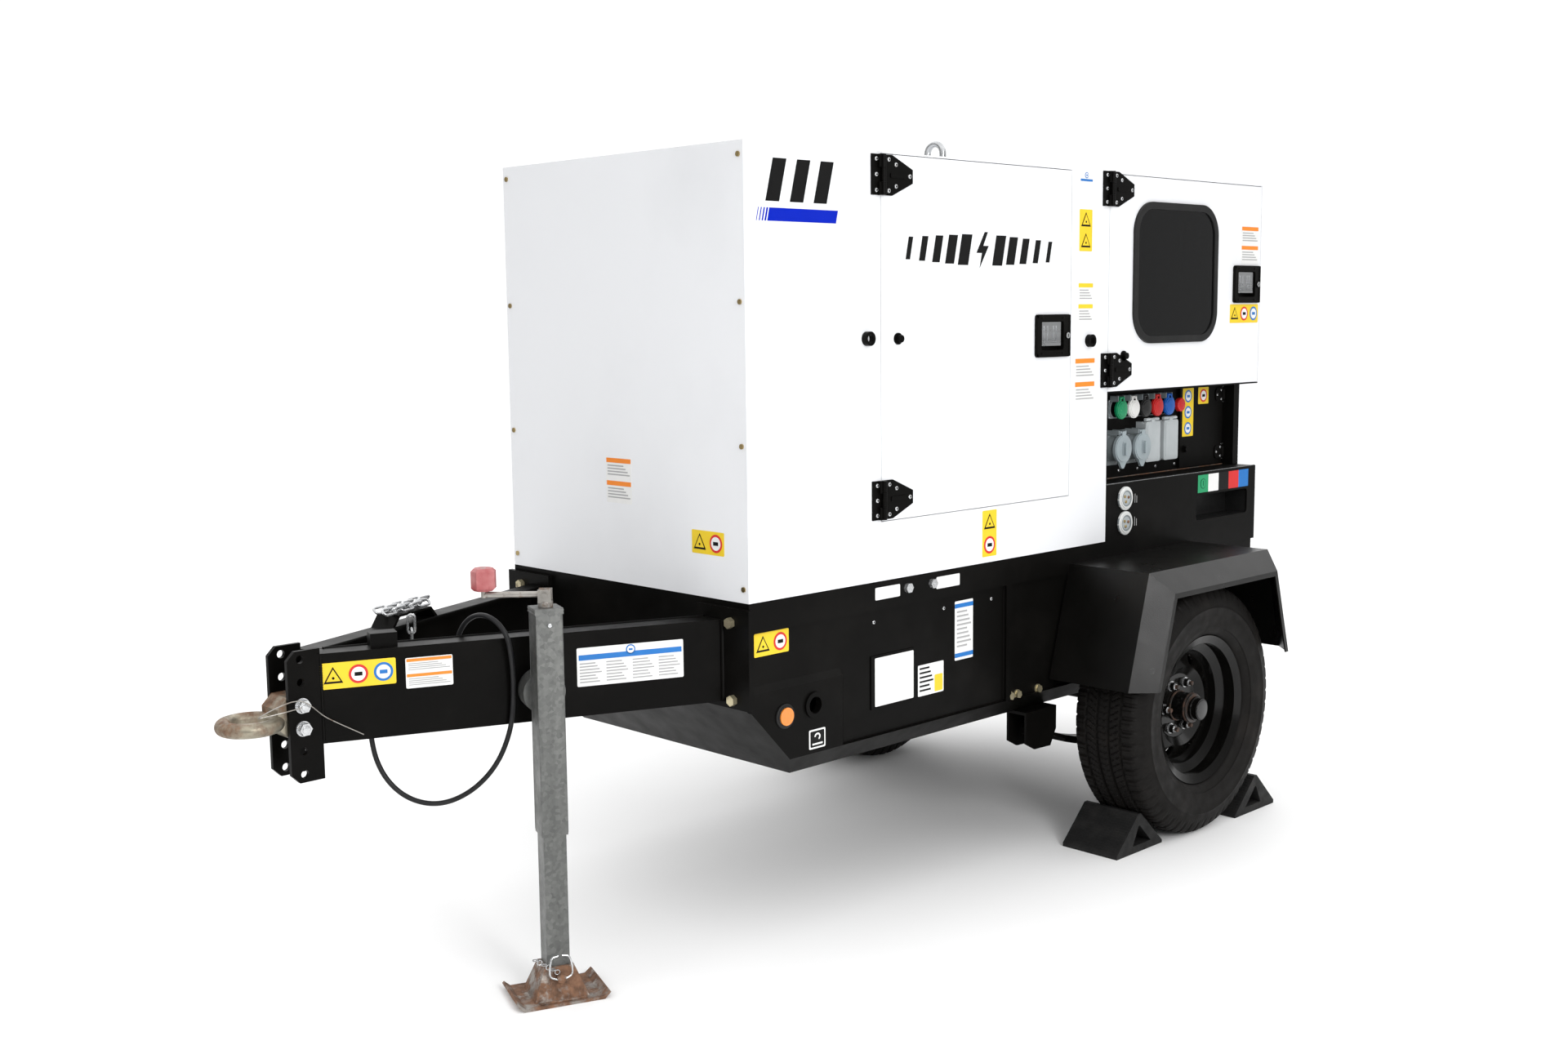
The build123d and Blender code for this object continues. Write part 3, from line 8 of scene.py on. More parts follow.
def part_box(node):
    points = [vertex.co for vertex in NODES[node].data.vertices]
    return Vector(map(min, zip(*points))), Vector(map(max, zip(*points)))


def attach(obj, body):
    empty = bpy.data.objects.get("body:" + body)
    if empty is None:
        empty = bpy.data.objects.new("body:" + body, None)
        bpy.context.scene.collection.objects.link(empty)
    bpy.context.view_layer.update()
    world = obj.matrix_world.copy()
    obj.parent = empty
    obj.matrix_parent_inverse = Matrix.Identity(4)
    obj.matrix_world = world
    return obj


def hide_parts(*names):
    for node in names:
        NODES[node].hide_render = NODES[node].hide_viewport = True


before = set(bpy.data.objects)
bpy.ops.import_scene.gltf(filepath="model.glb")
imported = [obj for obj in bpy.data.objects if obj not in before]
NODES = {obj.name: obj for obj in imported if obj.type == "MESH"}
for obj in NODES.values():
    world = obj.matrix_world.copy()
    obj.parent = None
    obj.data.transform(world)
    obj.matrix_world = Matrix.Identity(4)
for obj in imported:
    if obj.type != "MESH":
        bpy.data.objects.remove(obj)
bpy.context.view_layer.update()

# ---------------------------------------------------------------- places, from the frame
FRONT_LOW, FRONT_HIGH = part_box("front_panel")
HALF_WIDTH = FRONT_HIGH.y
CANOPY_FRONT = FRONT_LOW.x
CANOPY_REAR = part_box("roof_panel")[1].x
PANEL_DEPTH = 0.0105                    # base side panels lie this far inside the rails
RECESS_BACK = -0.345                    # front face of the outlet panel
TERMINAL_HINGES = (1.015, 1.193)        # heights of the terminal door's hinges
STUD_CIRCLE = 0.06985                   # radius of the wheel studs' circle
VALVE_CIRCLE = 0.15                     # distance of the valve from the wheel's middle
DRAWBAR_FRONT = Vector((-1.41, -0.045, 0.0))
DRAWBAR_REAR = Vector((-0.582, -0.3685, 0.0))
ALONG = (DRAWBAR_REAR - DRAWBAR_FRONT).normalized()
UP = Vector((0.0, 0.0, 1.0))
JACK_ALONG = 0.46                       # along the near member, from its front
JACK_OUT = 0.09                         # out of the member's face
TYRE_LOW, TYRE_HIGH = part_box("tyre_near")
GFCI_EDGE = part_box("gfci_cover_front")[0].x - 0.001
WHEEL_CENTRE = (TYRE_LOW + TYRE_HIGH) / 2


class Face:
    """A flat side of the machine: u runs right and v up for someone who looks at it."""

    def __init__(self, origin, u, v=UP):
        self.origin = Vector(origin)
        self.u = Vector(u)
        self.v = Vector(v)
        self.out = self.u.cross(self.v)

    def at(self, a, b, out=0.0):
        return self.origin + self.u * a + self.v * b + self.out * out


def near_plane(y):
    """Plane that faces the near side, at a distance from the middle of the machine."""
    return Face((0, y, 0), (1, 0, 0))


NEAR = near_plane(-HALF_WIDTH)
FAR = Face((0, HALF_WIDTH, 0), (-1, 0, 0))
BASE_SIDE = near_plane(-HALF_WIDTH + PANEL_DEPTH)
FRONT = Face((CANOPY_FRONT, 0, 0), (0, -1, 0))
REAR = Face((CANOPY_REAR, 0, 0), (0, 1, 0))
OUTLETS = near_plane(RECESS_BACK)
MEMBER = Face(DRAWBAR_FRONT, ALONG)


def add_object(name, data):
    """New object in the scene."""
    made = bpy.data.objects.new(name, data)
    bpy.context.scene.collection.objects.link(made)
    return made


# ---------------------------------------------------------------- shader helpers
def new_material(name):
    material = bpy.data.materials.new(name)
    material.use_nodes = True
    tree = material.node_tree
    return material, tree, tree.nodes["Principled BSDF"]


def set_inputs(node, **values):
    """Sets inputs of a shader node; underscores in a name stand for spaces."""
    for key, value in values.items():
        node.inputs[key.replace("_", " ")].default_value = value


def add(tree, kind, **values):
    """New shader node with some of its inputs set."""
    node = tree.nodes.new(kind)
    set_inputs(node, **values)
    return node


def place_of(tree):
    return tree.nodes.new("ShaderNodeTexCoord").outputs["Object"]


def noise(tree, scale, detail=4.0, stretch=None, rough=0.55):
    """Noise over the object's own coordinates, in metres; stretch scales the three axes."""
    texture = add(tree, "ShaderNodeTexNoise", Scale=scale, Detail=detail, Roughness=rough)
    source = place_of(tree)
    if stretch:
        mapping = add(tree, "ShaderNodeMapping", Scale=stretch)
        tree.links.new(source, mapping.inputs["Vector"])
        source = mapping.outputs["Vector"]
    tree.links.new(source, texture.inputs["Vector"])
    return texture.outputs["Fac"]


def remap(tree, value, low, high, out_low=0.0, out_high=1.0):
    node = add(tree, "ShaderNodeMapRange", From_Min=low, From_Max=high, To_Min=out_low, To_Max=out_high)
    tree.links.new(value, node.inputs["Value"])
    return node.outputs["Result"]


def mix_colour(tree, factor, first, second):
    """Colour between first and second; each is a colour or a socket."""
    node = tree.nodes.new("ShaderNodeMix")
    node.data_type = "RGBA"
    for letter, value in (("A", first), ("B", second)):
        socket = [s for s in node.inputs if s.name == letter and s.type == "RGBA"][0]
        if isinstance(value, tuple):
            socket.default_value = (*value, 1.0)
        else:
            tree.links.new(value, socket)
    tree.links.new(factor, node.inputs["Factor"])
    return [s for s in node.outputs if s.type == "RGBA"][0]


def multiply(tree, value, factor):
    node = tree.nodes.new("ShaderNodeMath")
    node.operation = "MULTIPLY"
    tree.links.new(value, node.inputs[0])
    node.inputs[1].default_value = factor
    return node.outputs[0]


def bump(tree, shader, height, depth, strength=1.0, under=None):
    """Bump of a depth in metres; under is the normal of an earlier bump."""
    node = add(tree, "ShaderNodeBump", Strength=strength, Distance=depth)
    tree.links.new(height, node.inputs["Height"])
    if under:
        tree.links.new(under, node.inputs["Normal"])
    tree.links.new(node.outputs["Normal"], shader.inputs["Normal"])
    return node.outputs["Normal"]


def surface(name, colour, second=None, patch=6.0, patch_range=(0.4, 0.7), rough=(0.35, 0.45),
            rough_patch=20.0, metal=0.0, grain=900.0, grain_depth=0.0, coat=0.0, stretch=None,
            specular=0.5):
    """Finish with a second colour in patches, uneven roughness and a fine grain."""
    material, tree, shader = new_material(name)
    set_inputs(shader, Metallic=metal, Coat_Weight=coat, Coat_Roughness=0.12, Specular_IOR_Level=specular)
    patches = remap(tree, noise(tree, patch, 6.0, stretch), *patch_range)
    colours = mix_colour(tree, patches, colour, second or tuple(0.85 * c for c in colour))
    tree.links.new(colours, shader.inputs["Base Color"])
    gloss = remap(tree, noise(tree, rough_patch, 5.0, stretch), 0.3, 0.7, *rough)
    tree.links.new(gloss, shader.inputs["Roughness"])
    if grain_depth:
        bump(tree, shader, noise(tree, grain, 3.0), grain_depth)
    return material


def rusted(name, metal_colour, rust_colour, amount, rough=(0.4, 0.8), spread=14.0, metal=0.8):
    """Bare or plated metal that rust covers in patches; amount is 0 to 1."""
    material, tree, shader = new_material(name)
    fine = noise(tree, spread, 9.0, rough=0.68)
    cover = remap(tree, fine, 0.62 - 0.35 * amount, 0.74 - 0.35 * amount)
    dark = tuple(0.35 * c for c in rust_colour)
    rust = mix_colour(tree, remap(tree, noise(tree, 60.0, 6.0), 0.35, 0.7), rust_colour, dark)
    plate = mix_colour(tree, remap(tree, noise(tree, 25.0, 5.0), 0.3, 0.7), metal_colour,
                       tuple(0.7 * c for c in metal_colour))
    tree.links.new(mix_colour(tree, cover, plate, rust), shader.inputs["Base Color"])
    tree.links.new(remap(tree, cover, 0.0, 1.0, *rough), shader.inputs["Roughness"])
    tree.links.new(remap(tree, cover, 0.0, 1.0, metal, 0.0), shader.inputs["Metallic"])
    first = bump(tree, shader, cover, 0.0004, 0.7)
    bump(tree, shader, noise(tree, 240.0, 5.0), 0.0004, 0.8, first)
    return material


# ---------------------------------------------------------------- materials
def white_paint():
    """Powder-coated sheet: nearly white, faint orange peel, a little grime."""
    return surface("white_paint", (0.8, 0.81, 0.83), (0.72, 0.73, 0.75), 1.6, (0.52, 0.85), (0.28, 0.4),
                   9.0, grain=420.0, grain_depth=0.00006, coat=0.15)


def black_paint(name, rough, depth, grain=260.0, coat=0.0, specular=0.06):
    """Black enamel with a pebbled skin and slightly greyer scuffs."""
    return surface(name, (0.003, 0.0028, 0.0025), (0.0058, 0.0053, 0.0047), 5.0, (0.5, 0.75), rough, 14.0,
                   grain=grain, grain_depth=depth, coat=coat, specular=specular)


def galvanised():
    """Hot-dip zinc: crystal spangle, streaks that run down, and dull patches."""
    material, tree, shader = new_material("galvanised")
    set_inputs(shader, Metallic=0.75)
    cells = add(tree, "ShaderNodeTexVoronoi", Scale=130.0)
    tree.links.new(place_of(tree), cells.inputs["Vector"])
    spangle = remap(tree, cells.outputs["Color"], 0.0, 1.0)
    streaks = remap(tree, noise(tree, 30.0, 5.0, (1.0, 1.0, 0.06)), 0.35, 0.7)
    base = mix_colour(tree, spangle, (0.115, 0.118, 0.114), (0.205, 0.208, 0.2))
    base = mix_colour(tree, multiply(tree, streaks, 0.6), base, (0.092, 0.095, 0.092))
    tree.links.new(base, shader.inputs["Base Color"])
    tree.links.new(remap(tree, noise(tree, 18.0, 6.0), 0.3, 0.7, 0.34, 0.6), shader.inputs["Roughness"])
    bump(tree, shader, spangle, 0.00005, 0.6)
    return material


def tyre_rubber():
    """Black rubber, greyer where dust lies in it."""
    return surface("tyre_rubber", (0.0062, 0.0055, 0.005), (0.014, 0.0118, 0.0102), 9.0, (0.5, 0.8),
                   (0.5, 0.7), 30.0, grain=800.0, grain_depth=0.00012, specular=0.11)


def chock_rubber():
    return surface("chock_rubber", (0.006, 0.006, 0.006), (0.015, 0.0143, 0.0137), 22.0, (0.45, 0.75),
                   (0.55, 0.8), 40.0, grain=500.0, grain_depth=0.0003, specular=0.3)


def dark_glass():
    """Glass with a near-black tint: painted shade of the cabinet behind the window."""
    material, tree, shader = new_material("dark_glass")
    # Near-black tint: painted shade for the unlit cabinet seen through the window.
    set_inputs(shader, Base_Color=(0.014, 0.015, 0.016, 1.0), Transmission_Weight=0.9, IOR=1.45,
               Specular_IOR_Level=0.1)
    tree.links.new(remap(tree, noise(tree, 6.0, 3.0), 0.3, 0.7, 0.01, 0.05), shader.inputs["Roughness"])
    return material


def lens(name, colour):
    """Moulded lens: clear colour over fine internal ribs."""
    material, tree, shader = new_material(name)
    set_inputs(shader, Base_Color=(*colour, 1.0), Transmission_Weight=0.25, Roughness=0.12,
               Coat_Weight=0.6)
    ribs = add(tree, "ShaderNodeTexWave", Scale=90.0)
    tree.links.new(place_of(tree), ribs.inputs["Vector"])
    bump(tree, shader, ribs.outputs["Fac"], 0.0006, 0.6)
    return material


def plastic(name, colour, rough=(0.3, 0.42), second=None):
    return surface(name, colour, second, 12.0, (0.4, 0.75), rough, 30.0, grain=1500.0, grain_depth=0.00003)


def print_ink(name, colour, specular):
    """Printed vinyl."""
    return surface(name, colour, tuple(0.93 * c for c in colour), 20.0, (0.4, 0.8), (0.3, 0.4), 50.0,
                   specular=specular)


def foam():
    """Dark acoustic foam with an open, lumpy face."""
    material, tree, shader = new_material("acoustic_foam")
    cells = add(tree, "ShaderNodeTexVoronoi", Scale=60.0)
    tree.links.new(place_of(tree), cells.inputs["Vector"])
    tone = remap(tree, cells.outputs["Distance"], 0.0, 0.6)
    tree.links.new(mix_colour(tree, tone, (0.05, 0.05, 0.052), (0.022, 0.022, 0.023)),
                   shader.inputs["Base Color"])
    set_inputs(shader, Roughness=0.95)
    bump(tree, shader, cells.outputs["Distance"], 0.004, 1.0)
    return material


MATERIALS = {
    "white": white_paint(),
    "frame_black": black_paint("frame_black", (0.28, 0.42), 0.0001),
    "fender_black": black_paint("fender_black", (0.27, 0.35), 0.00022, 420.0, specular=0.24),
    "wheel_black": black_paint("wheel_black", (0.12, 0.22), 0.00002, 300.0, 0.12, 0.16),
    "cabinet_black": black_paint("cabinet_black", (0.35, 0.5), 0.00012, 500.0),
    "fitting_black": black_paint("fitting_black", (0.3, 0.42), 0.00008, 700.0),
    "galvanised": galvanised(),
    "foot_rust": rusted("foot_rust", (0.34, 0.31, 0.28), (0.22, 0.11, 0.06), 0.62, spread=22.0),
    "eye_metal": rusted("eye_metal", (0.36, 0.325, 0.25), (0.2, 0.1, 0.05), 0.42, (0.32, 0.75), 9.0),
    "hub_rust": rusted("hub_rust", (0.03, 0.027, 0.025), (0.095, 0.048, 0.03), 0.45, (0.35, 0.7), 40.0, 0.3),
    "brushed": surface("brushed_steel", (0.62, 0.63, 0.64), (0.45, 0.46, 0.47), 40.0, (0.3, 0.7),
                       (0.22, 0.36), 60.0, 1.0, 1200.0, 0.00003, stretch=(0.04, 1.0, 1.0)),
    "crank_zinc": rusted("crank_zinc", (0.42, 0.4, 0.37), (0.2, 0.13, 0.09), 0.25, (0.38, 0.7), 40.0),
    "yellow_zinc": rusted("yellow_zinc", (0.62, 0.55, 0.36), (0.24, 0.15, 0.08), 0.12, (0.3, 0.6), 60.0),
    "bright_zinc": rusted("bright_zinc", (0.66, 0.67, 0.68), (0.3, 0.24, 0.18), 0.1, (0.26, 0.6), 80.0),
    "brass": surface("brass", (0.55, 0.42, 0.2), (0.4, 0.3, 0.14), 30.0, (0.3, 0.7), (0.25, 0.4), 60.0, 1.0),
    "knob_red": surface("knob_red", (0.34, 0.06, 0.065), (0.48, 0.19, 0.19), 26.0, (0.35, 0.7),
                        (0.5, 0.7), 40.0, grain=300.0, grain_depth=0.0003),
    "tyre": tyre_rubber(),
    "chock": chock_rubber(),
    "rubber": surface("seal_rubber", (0.008, 0.008, 0.008), (0.014, 0.014, 0.014), 20.0, (0.4, 0.8),
                      (0.4, 0.55), 30.0, grain=900.0, grain_depth=0.00005, specular=0.25),
    "cable": surface("cable_rubber", (0.008, 0.008, 0.009), (0.02, 0.02, 0.02), 30.0, (0.5, 0.8),
                     (0.38, 0.55), 50.0, grain=1500.0, grain_depth=0.00006, specular=0.3),
    "glass": dark_glass(),
    "amber": lens("amber_lens", (0.95, 0.28, 0.01)),
    "red_lens": lens("red_lens", (0.55, 0.01, 0.01)),
    "screen": surface("screen", (0.05, 0.09, 0.08), (0.03, 0.05, 0.05), 30.0, (0.3, 0.7), (0.08, 0.15), 20.0),
    "foam": foam(),
    "engine": surface("engine_paint", (0.09, 0.1, 0.11), (0.05, 0.055, 0.06), 14.0, (0.4, 0.7), (0.4, 0.6),
                      20.0, grain=160.0, grain_depth=0.0004),
    "alternator": surface("alternator_paint", (0.05, 0.052, 0.055), (0.03, 0.03, 0.032), 14.0, (0.4, 0.7),
                          (0.4, 0.6), 20.0, grain=200.0, grain_depth=0.0003),
    "radiator": surface("radiator_black", (0.02, 0.02, 0.02), (0.04, 0.04, 0.04), 30.0, (0.4, 0.7),
                        (0.5, 0.7), 30.0, grain=200.0, grain_depth=0.0003),
    "silencer": rusted("silencer", (0.35, 0.34, 0.33), (0.2, 0.12, 0.08), 0.3, (0.4, 0.8), 12.0),
}
GLOSSY = (0.18, 0.3)
PLASTICS = {"outlet_grey": [(0.22, 0.25, 0.26)],
            "box_grey": [(0.42, 0.45, 0.46), (0.3, 0.42), (0.36, 0.39, 0.4)],
            "twist_grey": [(0.3, 0.35, 0.37), (0.28, 0.4)],
            "inlet_white": [(0.7, 0.71, 0.7), (0.3, 0.4)],
            "cover_green": [(0.01, 0.27, 0.11), GLOSSY],
            "cover_white": [(0.78, 0.78, 0.76), GLOSSY],
            "cover_black": [(0.012, 0.012, 0.012), GLOSSY],
            "cover_red": [(0.52, 0.015, 0.015), GLOSSY],
            "cover_blue": [(0.01, 0.1, 0.42), GLOSSY],
            "tank": [(0.02, 0.02, 0.02), (0.4, 0.6)],
            "battery": [(0.015, 0.015, 0.016), (0.3, 0.45)]}
INK_COLOURS = {"ink_white": (0.8, 0.8, 0.79), "ink_yellow": (0.82, 0.58, 0.02),
               "ink_orange": (0.85, 0.24, 0.02), "ink_blue": (0.01, 0.16, 0.5),
               "ink_black": (0.007, 0.007, 0.007), "ink_grey": (0.38, 0.38, 0.38),
               "ink_red": (0.62, 0.02, 0.02), "ink_green": (0.01, 0.3, 0.12),
               "ink_stripe": (0.0, 0.015, 0.42)}
INK_GLOSS = {"ink_stripe": 0.15, "ink_black": 0.12}
INKS = tuple(INK_COLOURS)
for name, values in PLASTICS.items():
    MATERIALS[name] = plastic(name, *values)
for name, colour in INK_COLOURS.items():
    MATERIALS[name] = print_ink(name, colour, INK_GLOSS.get(name, 0.4))


# ---------------------------------------------------------------- mesh helpers
def ring_of(centre, side, other, radius, sides):
    turns = (2 * math.pi * i / sides for i in range(sides))
    return [centre + side * (radius * math.cos(t)) + other * (radius * math.sin(t)) for t in turns]


class Piece:
    """One visible piece built from simple solids in the machine's frame, in metres."""

    def __init__(self, name, body, *materials, slot=None):
        self.name = name
        self.body = body
        self.materials = materials
        self.slot = slot
        self.mesh = bmesh.new()

    def add_shape(self, verts, faces, material):
        points = [self.mesh.verts.new(v) for v in verts]
        for face in faces:
            made = self.mesh.faces.new([points[i] for i in face])
            made.material_index = self.materials.index(material)
        return points

    def box(self, low, high, material, bevel=0.0):
        """Box between two corners; bevel softens its edges."""
        (x0, y0, z0), (x1, y1, z1) = low, high
        verts = [(x, y, z) for z in (z0, z1) for y in (y0, y1) for x in (x0, x1)]
        faces = [(0, 2, 3, 1), (4, 5, 7, 6), (0, 1, 5, 4), (2, 6, 7, 3), (0, 4, 6, 2), (1, 3, 7, 5)]
        points = self.add_shape(verts, faces, material)
        if bevel:
            edges = {edge for point in points for edge in point.link_edges}
            bmesh.ops.bevel(self.mesh, geom=list(edges), offset=bevel, segments=2, affect="EDGES",
                            clamp_overlap=True)

    def prism(self, face, outline, low, high, material):
        """Outline of (u, v) points on a face, solid between two distances out of it."""
        count = len(outline)
        verts = [face.at(a, b, low) for a, b in outline] + [face.at(a, b, high) for a, b in outline]
        faces = [tuple(range(count - 1, -1, -1)), tuple(range(count, 2 * count))]
        faces += [(i, (i + 1) % count, (i + 1) % count + count, i + count) for i in range(count)]
        self.add_shape(verts, faces, material)

    def skin(self, rings, material):
        """Closed surface over rings of points, with a flat cap at either end."""
        sides = len(rings[0])
        last = (len(rings) - 1) * sides
        faces = [tuple(range(sides - 1, -1, -1)), tuple(last + i for i in range(sides))]
        for base in range(0, last, sides):
            for i in range(sides):
                after = (i + 1) % sides
                faces.append((base + i, base + after, base + after + sides, base + i + sides))
        self.add_shape([point for ring in rings for point in ring], faces, material)

    def rod(self, start, end, radius, material, sides=32, end_radius=None, soft=0.0):
        """Round bar or cone; soft rounds its edge at the end."""
        start, end = Vector(start), Vector(end)
        axis = (end - start).normalized()
        side = axis.orthogonal().normalized()
        other = axis.cross(side)
        last = radius if end_radius is None else end_radius
        stations = [(start, radius)]
        if soft:
            for turn in (math.pi / 6 * step for step in range(4)):
                short, slim = soft * (1 - math.sin(turn)), soft * (1 - math.cos(turn))
                stations.append((end - axis * short, last - slim))
        else:
            stations.append((end, last))
        self.skin([ring_of(centre, side, other, size, sides) for centre, size in stations], material)

    def disc(self, face, a, b, low, high, radius, material, sides=32, end_radius=None, soft=0.0):
        """Round bar or cone that stands on a face, between two distances out of it."""
        start, end = face.at(a, b, low), face.at(a, b, high)
        self.rod(start, end, radius, material, sides, end_radius, soft)

    def plate(self, face, a0, a1, b0, b1, corner, low, high, material, steps=3):
        """Plate with round corners on a face, between two distances out of it."""
        self.prism(face, round_rectangle(a0, a1, b0, b1, corner, steps), low, high, material)

    def tube(self, points, radius, material, sides=10):
        """Round wire along straight runs between points."""
        points = [Vector(p) for p in points]
        rings = []
        side = None
        for before, point, after in zip(points[:1] + points, points, points[1:] + points[-1:]):
            axis = (after - before).normalized()
            side = axis.orthogonal() if side is None else side - axis * side.dot(axis)
            side = side.normalized()
            rings.append(ring_of(point, side, axis.cross(side), radius, sides))
        self.skin(rings, material)

    def done(self, angle=35.0):
        """Makes the object, with flat faces meeting round ones at crisp edges, and rides it on its body."""
        bmesh.ops.recalc_face_normals(self.mesh, faces=self.mesh.faces)
        data = bpy.data.meshes.new(self.name)
        self.mesh.to_mesh(data)
        self.mesh.free()
        for name in self.materials:
            data.materials.append(MATERIALS[name])
        piece = add_object(self.name, data)
        data.shade_smooth()
        data.set_sharp_from_angle(angle=math.radians(angle))
        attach(piece, self.body)
        return piece


def round_rectangle(a0, a1, b0, b1, corner, steps=6):
    """Outline of a rectangle with round corners, anticlockwise."""
    points = []
    for centre_a, centre_b, start in ((a1 - corner, b1 - corner, 0), (a0 + corner, b1 - corner, 90),
                                      (a0 + corner, b0 + corner, 180), (a1 - corner, b0 + corner, 270)):
        for step in range(steps + 1):
            turn = math.radians(start + 90 * step / steps)
            points.append((centre_a + corner * math.cos(turn), centre_b + corner * math.sin(turn)))
    return points


def circle(a, b, radius, steps=28):
    return [(a + radius * math.cos(2 * math.pi * i / steps), b + radius * math.sin(2 * math.pi * i / steps))
            for i in range(steps)]


def frame_plates(piece, face, a0, a1, b0, b1, upright, level, corner, low, high, material):
    """Four plates that frame a rectangle; upright and level are the widths of its bars."""
    for sides in ((a0, a1, b0, b0 + level), (a0, a1, b1 - level, b1),
                  (a0, a0 + upright, b0, b1), (a1 - upright, a1, b0, b1)):
        piece.plate(face, *sides, corner, low, high, material)


# ---------------------------------------------------------------- generic labels
STICKER = 0.0004                         # thickness of one printed layer


def sticker(piece, face, a0, a1, b0, b1, material, layer=0, corner=0.003):
    low = STICKER * layer - (0.0002 if layer == 0 else 0.0)
    outline = round_rectangle(a0, a1, b0, b1, min(corner, (a1 - a0) / 2.1, (b1 - b0) / 2.1), 3)
    piece.prism(face, outline, low, STICKER * (layer + 1), material)


def lines_of_print(piece, face, a0, a1, b0, b1, rows, material="ink_grey"):
    """Thin bars that stand for lines of small print, of uneven length."""
    pitch = (b1 - b0) / rows
    for row in range(rows):
        top = b1 - pitch * row
        width = (a1 - a0) * (0.72 + 0.28 * ((row * 5) % 4) / 3)
        sticker(piece, face, a0, a0 + width, top - pitch * 0.42, top, material, 1, 0.0004)


def triangle_sign(piece, face, a, b, size):
    """Plain triangle of black line on a yellow ground."""
    for scale, material, layer in ((1.0, "ink_black", 1), (0.72, "ink_yellow", 2)):
        half = size * scale / 2
        outline = [(a - half, b - half * 0.8), (a + half, b - half * 0.8), (a, b + half * 0.95)]
        piece.prism(face, outline, STICKER * layer, STICKER * (layer + 1), material)
    piece.prism(face, circle(a, b - size * 0.12, size * 0.07, 12), STICKER * 3, STICKER * 4, "ink_black")


def round_sign(piece, face, a, b, size, outer, inner):
    for scale, material, layer in ((1.0, outer, 1), (0.74, inner, 2)):
        piece.prism(face, circle(a, b, size * scale / 2), STICKER * layer, STICKER * (layer + 1), material)
    sticker(piece, face, a - size * 0.2, a + size * 0.2, b - size * 0.1, b + size * 0.1,
            outer if outer != "ink_red" else "ink_black", 3, 0.0005)


SIGNS = {"R": ("ink_red", "ink_white"), "B": ("ink_blue", "ink_white")}


def sign_strip(piece, face, a0, a1, b0, b1, signs, upright=False):
    """Yellow label with a row or column of plain signs: T triangle, R red ring, B blue disc."""
    sticker(piece, face, a0, a1, b0, b1, "ink_yellow")
    count = len(signs)
    for index, sign in enumerate(signs):
        share = (index + 0.5) / count
        a = (a0 + a1) / 2 if upright else a0 + (a1 - a0) * share
        b = b1 - (b1 - b0) * share if upright else (b0 + b1) / 2
        cell = (b1 - b0) / count if upright else (a1 - a0) / count
        size = 0.78 * min(cell, a1 - a0 if upright else b1 - b0)
        if sign == "T":
            triangle_sign(piece, face, a, b, size)
        else:
            round_sign(piece, face, a, b, size, *SIGNS[sign])


def caution_plate(piece, face, a0, a1, b0, b1, band="ink_orange", blocks=2, rows=4):
    """White label in blocks, each with a coloured band and a few bars of print."""
    sticker(piece, face, a0, a1, b0, b1, "ink_white")
    height = (b1 - b0) / blocks
    for block in range(blocks):
        top = b1 - height * block - 0.002
        band_low = top - height * 0.2
        sticker(piece, face, a0 + 0.002, a1 - 0.002, band_low, top, band, 1, 0.001)
        lines_of_print(piece, face, a0 + 0.006, a1 - 0.006, band_low - height * 0.62, band_low - height * 0.1,
                       rows)


# ---------------------------------------------------------------- carried-over CAD nodes
FINISHES = {
    "white": "front_panel roof_panel near_side_panel far_side_panel rear_panel door_engine door_control "
             "door_service",
    "frame_black": "base_frame drawbar_near drawbar_far axle",
    "fender_black": "fenders",
    "wheel_black": "wheel_near wheel_far",
    "cabinet_black": "outlet_cabinet terminal_door control_box",
    "fitting_black": "door_frame_fittings door_engine_fittings door_control_fittings "
                     "door_service_fittings breakaway_switch",
    "brushed": "latch_paddle_engine latch_paddle_control latch_paddle_service lifting_frame",
    "rubber": "window_seal",
    "glass": "window_glass",
    "galvanised": "jack_tube jack_leg",
    "knob_red": "jack_knob",
    "eye_metal": "tow_eye",
    "bright_zinc": "safety_chains fasteners",
    "tyre": "tyre_near tyre_far",
    "chock": "chock_front chock_rear",
    "amber": "lights",
    "outlet_grey": "outlet_bodies",
    "twist_grey": "twistlock_cover_front twistlock_cover_rear",
    "box_grey": "gfci_cover_front gfci_cover_rear",
    "cover_red": "estop_button camlock_cover_red",
    "cable": "trailer_cable",
    "tank": "fuel_tank cooling_fan",
    "crank_zinc": "jack_crank",
    **{f"cover_{colour}": f"camlock_cover_{colour}" for colour in ("green", "white", "black", "blue")},
    **{name: name for name in ("engine", "alternator", "radiator", "silencer", "battery")},
}
SOFT_EDGES = {"white": 0.0012, "frame_black": 0.0018, "fender_black": 0.0025, "galvanised": 0.002,
              "cabinet_black": 0.001, "fitting_black": 0.0012, "chock": 0.004, "box_grey": 0.002,
              "brushed": 0.0008, "engine": 0.005, "battery": 0.003}


def paint_nodes():
    for finish, names in FINISHES.items():
        for name in names.split():
            node = NODES[name]
            node.data.materials.clear()
            node.data.materials.append(MATERIALS[finish])
            soften(node, SOFT_EDGES.get(finish, 0.0006))


def soften(node, width):
    """Rounds a CAD node's hard edges and shades the rest smooth."""
    planar = node.modifiers.new("planar", "DECIMATE")
    planar.decimate_type = "DISSOLVE"
    planar.angle_limit = math.radians(1.0)
    edge = node.modifiers.new("edges", "BEVEL")
    edge.width = width
    edge.segments = 2
    edge.limit_method = "ANGLE"
    edge.angle_limit = math.radians(40)
    edge.harden_normals = True


def repaint(name, finish, chosen):
    """Gives a second finish to the faces of a CAD node whose centre passes a test."""
    data = NODES[name].data
    data.materials.append(MATERIALS[finish])
    index = len(data.materials) - 1
    for face in data.polygons:
        if chosen(face.center):
            face.material_index = index


